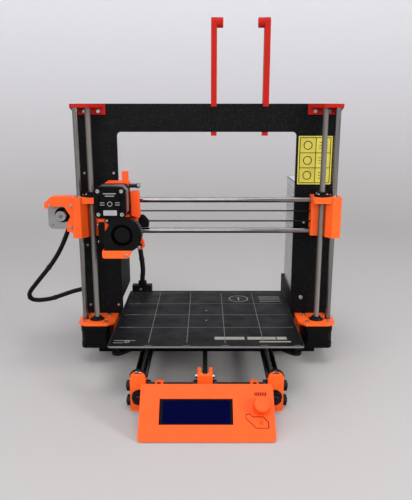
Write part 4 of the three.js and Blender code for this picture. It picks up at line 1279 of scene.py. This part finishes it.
def power_supply():
    """The supply's perforated case. Its left and rear walls are sheets with real holes."""
    low, high = limits("psu_case")
    low.x += SUPPLY_INSET
    wide, deep, tall = zip(low, high)
    skin, inset = 0.8, 1.4
    shape = Shape()
    core = (low.x + inset, high.x - skin), (low.y + skin, high.y - inset), (low.z, high.z - skin)
    shape.block(*core, look=1)
    shape.block((high.x - skin, high.x), deep, tall)
    shape.block(wide, deep, (high.z - skin, high.z))
    shape.block(wide, (low.y, low.y + skin), tall)
    perforated(shape, "x", deep, tall, low.x, low.x + skin)
    perforated(shape, "y", wide, tall, high.y - skin, high.y)
    piece("supply_case_sheet", shape, "frame", [GALVANISED, SOCKET_BLACK], smooth=30,
          replaces=["psu_case"])
    dress("psu_cover", BLACK_PRINT, 0.6)
    inlet()


def perforated(shape, axis, wide, tall, front, back, pitch=6.4, hole=2.1, rim=7):
    """A sheet with rows of round holes, leaving a plain rim."""
    columns = int((wide[1] - wide[0] - 2 * rim) / pitch)
    rows = int((tall[1] - tall[0] - 2 * rim) / pitch)
    u0, u1 = about((wide[0] + wide[1]) / 2, columns * pitch / 2)
    v0, v1 = about((tall[0] + tall[1]) / 2, rows * pitch / 2)
    rims = ((wide[0], u0, *tall), (u1, wide[1], *tall), (u0, u1, tall[0], v0), (u0, u1, v1, tall[1]))
    for a, b, c, d in rims:
        shape.prism(axis, [(a, c), (b, c), (b, d), (a, d)], front, back)
    h = pitch / 2
    around = [(h, 0), (h, h), (0, h), (-h, h), (-h, 0), (-h, -h), (0, -h), (h, -h)]
    for i in range(columns):
        for j in range(rows):
            u, v = u0 + (i + 0.5) * pitch, v0 + (j + 0.5) * pitch
            square = [(u + a, v + b) for a, b in around]
            shape.frame(axis, square, round_outline(u, v, hole, 8), front, back)


def inlet():
    """The mains inlet's pins and surround, and the rocker with its bezel."""
    right = limits("psu_cover")[1].x
    y, z = 43.5, 31
    outer, inner = rounded_about(y, z, 17, 13, 3), rounded_about(y, z, 14.6, 10.1, 3)
    shape = Shape().frame("x", outer, inner, right + 0.02, right + 1.4)
    for dy, dz in ((0, 4), (-7, -1.5), (7, -1.5)):
        shape.prism("x", rounded_about(y + dy, z + dz, 1, 2, 0.4, 2), 167.2, right - 4, look=1)
    corners = [(-12, -6), (12, -6), (12, 3), (7, 7.4), (-7, 7.4), (-12, 3)]
    shape.prism("x", [(y + a, z + b) for a, b in corners], 167.1, 168)
    piece("mains_inlet_pins", shape, "frame", [SOCKET_BLACK, PIN_COPPER], bevel=0.25)
    outer, inner = rounded_about(81, 30.5, 12, 8.5, 1.5), rounded_about(81, 30.5, 10, 6.5, 0.8)
    bezel = Shape().frame("x", outer, inner, right + 0.02, right + 1.2)
    piece("rocker_bezel", bezel, "frame", SOCKET_BLACK, bevel=0.25)
    dress("power_switch", SOCKET_BLACK, 0.5)
    screws = Shape()
    for y, z in ((15, 70), (105, 70), (15, 18), (105, 18)):
        screws.screw("x", y, z, right - 0.02, 1, 2.7, 1.4)
    piece("supply_cover_screws", screws, "frame", BRIGHT_STEEL)


def electronics():
    """The electronics box with its raised rim, slats, screws and the glands of the two cables."""
    dress("electronics_box", BLACK_PRINT, 0.8)
    low, high = limits("electronics_box")
    outer = rounded(low.x + 0.5, high.x - 0.5, low.z + 0.5, high.z - 0.5, 2, 3)
    inner = rounded(low.x + 2.2, high.x - 2.2, low.z + 2.2, high.z - 2.2, 1.5, 3)
    trim = Shape().frame("y", outer, inner, high.y - 0.02, high.y + 1.2)
    for i in range(6):
        z = low.z + 26 + i * 13
        trim.block((low.x + 10, high.x - 10), (high.y - 0.02, high.y + 0.9), (z, z + 4))
    piece("electronics_box_trim", trim, "frame", BLACK_PRINT, bevel=0.4)
    screws = Shape()
    for x in (low.x + 6, high.x - 6):
        for z in (low.z + 7, high.z - 7):
            screws.screw("y", x, z, high.y, 1, 2.7, 2)
    piece("electronics_box_screws", screws, "frame", BRIGHT_STEEL)
    widths = (7.6, 7.6, 6.2, 5.2)
    for name, cable_route in (("bed", BED_CABLE), ("x_motor", X_CABLE)):
        end, before = Vector(cable_route[-1]), Vector(cable_route[-2])
        along = (before - end).normalized()
        path = [end + along * t for t in (-0.2, 2, 3.2, 9)]
        gland = Shape().sweep(path, lambda i: widths[i], 24)
        piece(f"{name}_cable_gland", gland, "frame", RUBBER, smooth=50)


# ---------------------------------------------------------------- display


def display():
    """The screen, its bezel, painted shade in the shape of the sounder's slots and of the slot round the
    reset flap, the knob's grip and the two supports.
    """
    # The darker orange print on the cover, flap and knob is painted shade.
    dress("display_cover", ORANGE_FLAT_PAINTED_SHADE, 1.2)
    dress("reset_button", ORANGE_FLAT_PAINTED_SHADE, 0.25)
    joint = next(j for j in frame["joints"] if j["name"] == "knob_turn")
    normal = Vector(joint["axis"])
    slope = math.atan2(-normal.y, normal.z)
    knob_place = (Vector(joint["pos_m"]) - ORIGIN) / MM
    foot = knob_place - KNOB_UP * Vector((0, math.cos(slope), math.sin(slope)))
    foot.x = 0
    turn = Matrix.Translation(foot) @ Matrix.Rotation(slope, 4, "X")

    def sloped():
        shape = Shape()
        shape.turn = turn
        return shape

    left, right, low, high = -55.8, 30.5, 19.8, 50.7
    screen = sloped().block((left + 1.5, right - 1.5), (low + 1, high - 1), (-2.8, -2.1))
    outer = rounded(left - 1.6, right + 1.6, low - 1.6, high + 1.6, 0.5, 2)
    inner = rounded(left + 3.9, right - 3.2, low + 1.8, high - 1.6, 0.5, 2)
    screen.frame("z", outer, inner, -3.6, -2.05, look=1)
    screen.block((left - 5, right + 5), (low - 8, high + 8), (-5.2, -3.7), look=2)
    piece("screen", screen, "frame", [SCREEN, SOCKET_BLACK, BOARD_GREEN], bevel=0.15)
    # Dark strips laid on the face over the sounder's slots and round the reset flap: painted shade of the
    # openings.
    slots = sloped()
    for i in range(7):
        slots.prism("z", rounded(*about(57.2 + i * 2.1, 0.7), 54, 58.4, 0.5, 3), -0.3, 0.1)
    slots.frame("z", FLAP_OUTER, FLAP_INNER, -1.2, 0.04)
    piece("painted_slot_shade", slots, "frame", SLOT_PAINTED_SHADE)
    # The cross is raised and coloured darker than the flap; the darker colour is painted shade of its relief.
    mark = sloped()
    for angle in (math.radians(45), math.radians(-45)):
        c, s = math.cos(angle), math.sin(angle)
        corners = [(-3, -0.5), (3, -0.5), (3, 0.5), (-3, 0.5)]
        mark.prism("z", [(62.9 + a * c - b * s, 21.9 + a * s + b * c) for a, b in corners], -0.1, 0.25)
    piece("reset_mark", mark, "reset_button", MARK_PAINTED_SHADE, bevel=0.12)
    ribs = lambda radius: (lambda angle: radius + 0.45 * math.cos(18 * angle))
    rows = [(0, 1.2), (9.4, 1.2), (ribs(9.9), 2.2), (ribs(9.3), 9.4),
            (8.6, 10.5), (7.4, 10.7), (6.8, 10.3), (0, 10.1)]
    knob = sloped().turned("z", knob_place.x, KNOB_UP, rows, 144)
    piece("knob_grip", knob, "display_knob", ORANGE_FLAT_PAINTED_SHADE, smooth=35,
          replaces=["display_knob"])
    collar = sloped().ring("z", knob_place.x, KNOB_UP, 3.3, 5.4, -0.4, 0.12, 32)
    piece("knob_collar", collar, "frame", BRIGHT_STEEL)
    dress("knob_shaft", GROUND_STEEL, 0.2)
    supports()


def supports():
    """Printed hooks that carry the display on the upper front cross rod."""
    y = limits("y_corner_front_left")[1].y - CROSS_ROD_INSET
    outline = [(-200, 29.5), (-194, 34.5), (-189.5, 37.8), (-177, 37.8), (y + 4, 34.6),
               (y + 7.5, 33), (y + 7.5, 24), (y - 2, 21.5), (-189, 17), (-193, 24)]
    for name, x in (("left", -59.4), ("right", 59.2)):
        shape = Shape().prism("x", outline, *about(x, 4.9))
        shape.bar("z", x, -181, 2.6, 37.6, 38.8, 0.4, 28, look=1)
        piece(f"display_support_{name}", shape, "frame", [ORANGE, BLACK_STEEL], bevel=0.7)


# ---------------------------------------------------------------- spool arms and cables


def spool_arms():
    for side in SIDES:
        dress(f"spool_arm_{side}", RED, 0.7)


def cable(name, node, points, ties):
    """A braided sleeve along a fixed route from its moving end to the frame, with its ties."""
    radius = CABLE_RADIUS[node]
    fine = smooth_route(points, 12)
    shape = Shape().sweep(fine, radius, CABLE_SIDES)
    made = piece(name, shape, None, SLEEVE, smooth=60)
    uv = made.data.uv_layers.new(name="sleeve")
    lengths = [0.0]
    for a, b in zip(fine, fine[1:]):
        lengths.append(lengths[-1] + (b - a).length * MM)
    around = TAU * radius * MM
    for polygon in made.data.polygons:
        sides = [made.data.loops[i].vertex_index % CABLE_SIDES for i in polygon.loop_indices]
        wraps = max(sides) - min(sides) > CABLE_SIDES / 2
        for loop, side in zip(polygon.loop_indices, sides):
            step = made.data.loops[loop].vertex_index // CABLE_SIDES
            turn = side + (CABLE_SIDES if wraps and side < CABLE_SIDES / 2 else 0)
            uv.data[loop].uv = (turn / CABLE_SIDES * around, lengths[step])
    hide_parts(node)
    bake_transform(made)
    for i, place in enumerate(ties):
        k = int(place * (len(fine) - 1))
        along = (fine[k + 1] - fine[k - 1]).normalized()
        band = Shape().sweep([fine[k] - along * 1.4, fine[k] + along * 1.4], radius + 0.7, 20)
        tie = piece(f"{name}_tie_{i}", band, None, TIE_BLACK, bevel=0.3)
        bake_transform(tie)


cable("x_motor_sleeve", "x_motor_cable", X_CABLE, (0.3, 0.56, 0.75))
cable("bed_sleeve", "bed_cable", BED_CABLE, (0.25, 0.6))
frame_plate()
label_panel()
for side_name, side_sign in (("left", -1), ("right", 1)):
    z_drive(side_name, side_sign)
x_axis()
x_carriage()
extruder()
hot_end()
square_fan()
blower()
heated_bed()
bed_slide()
base_frame()
y_drive()
power_supply()
electronics()
display()
spool_arms()
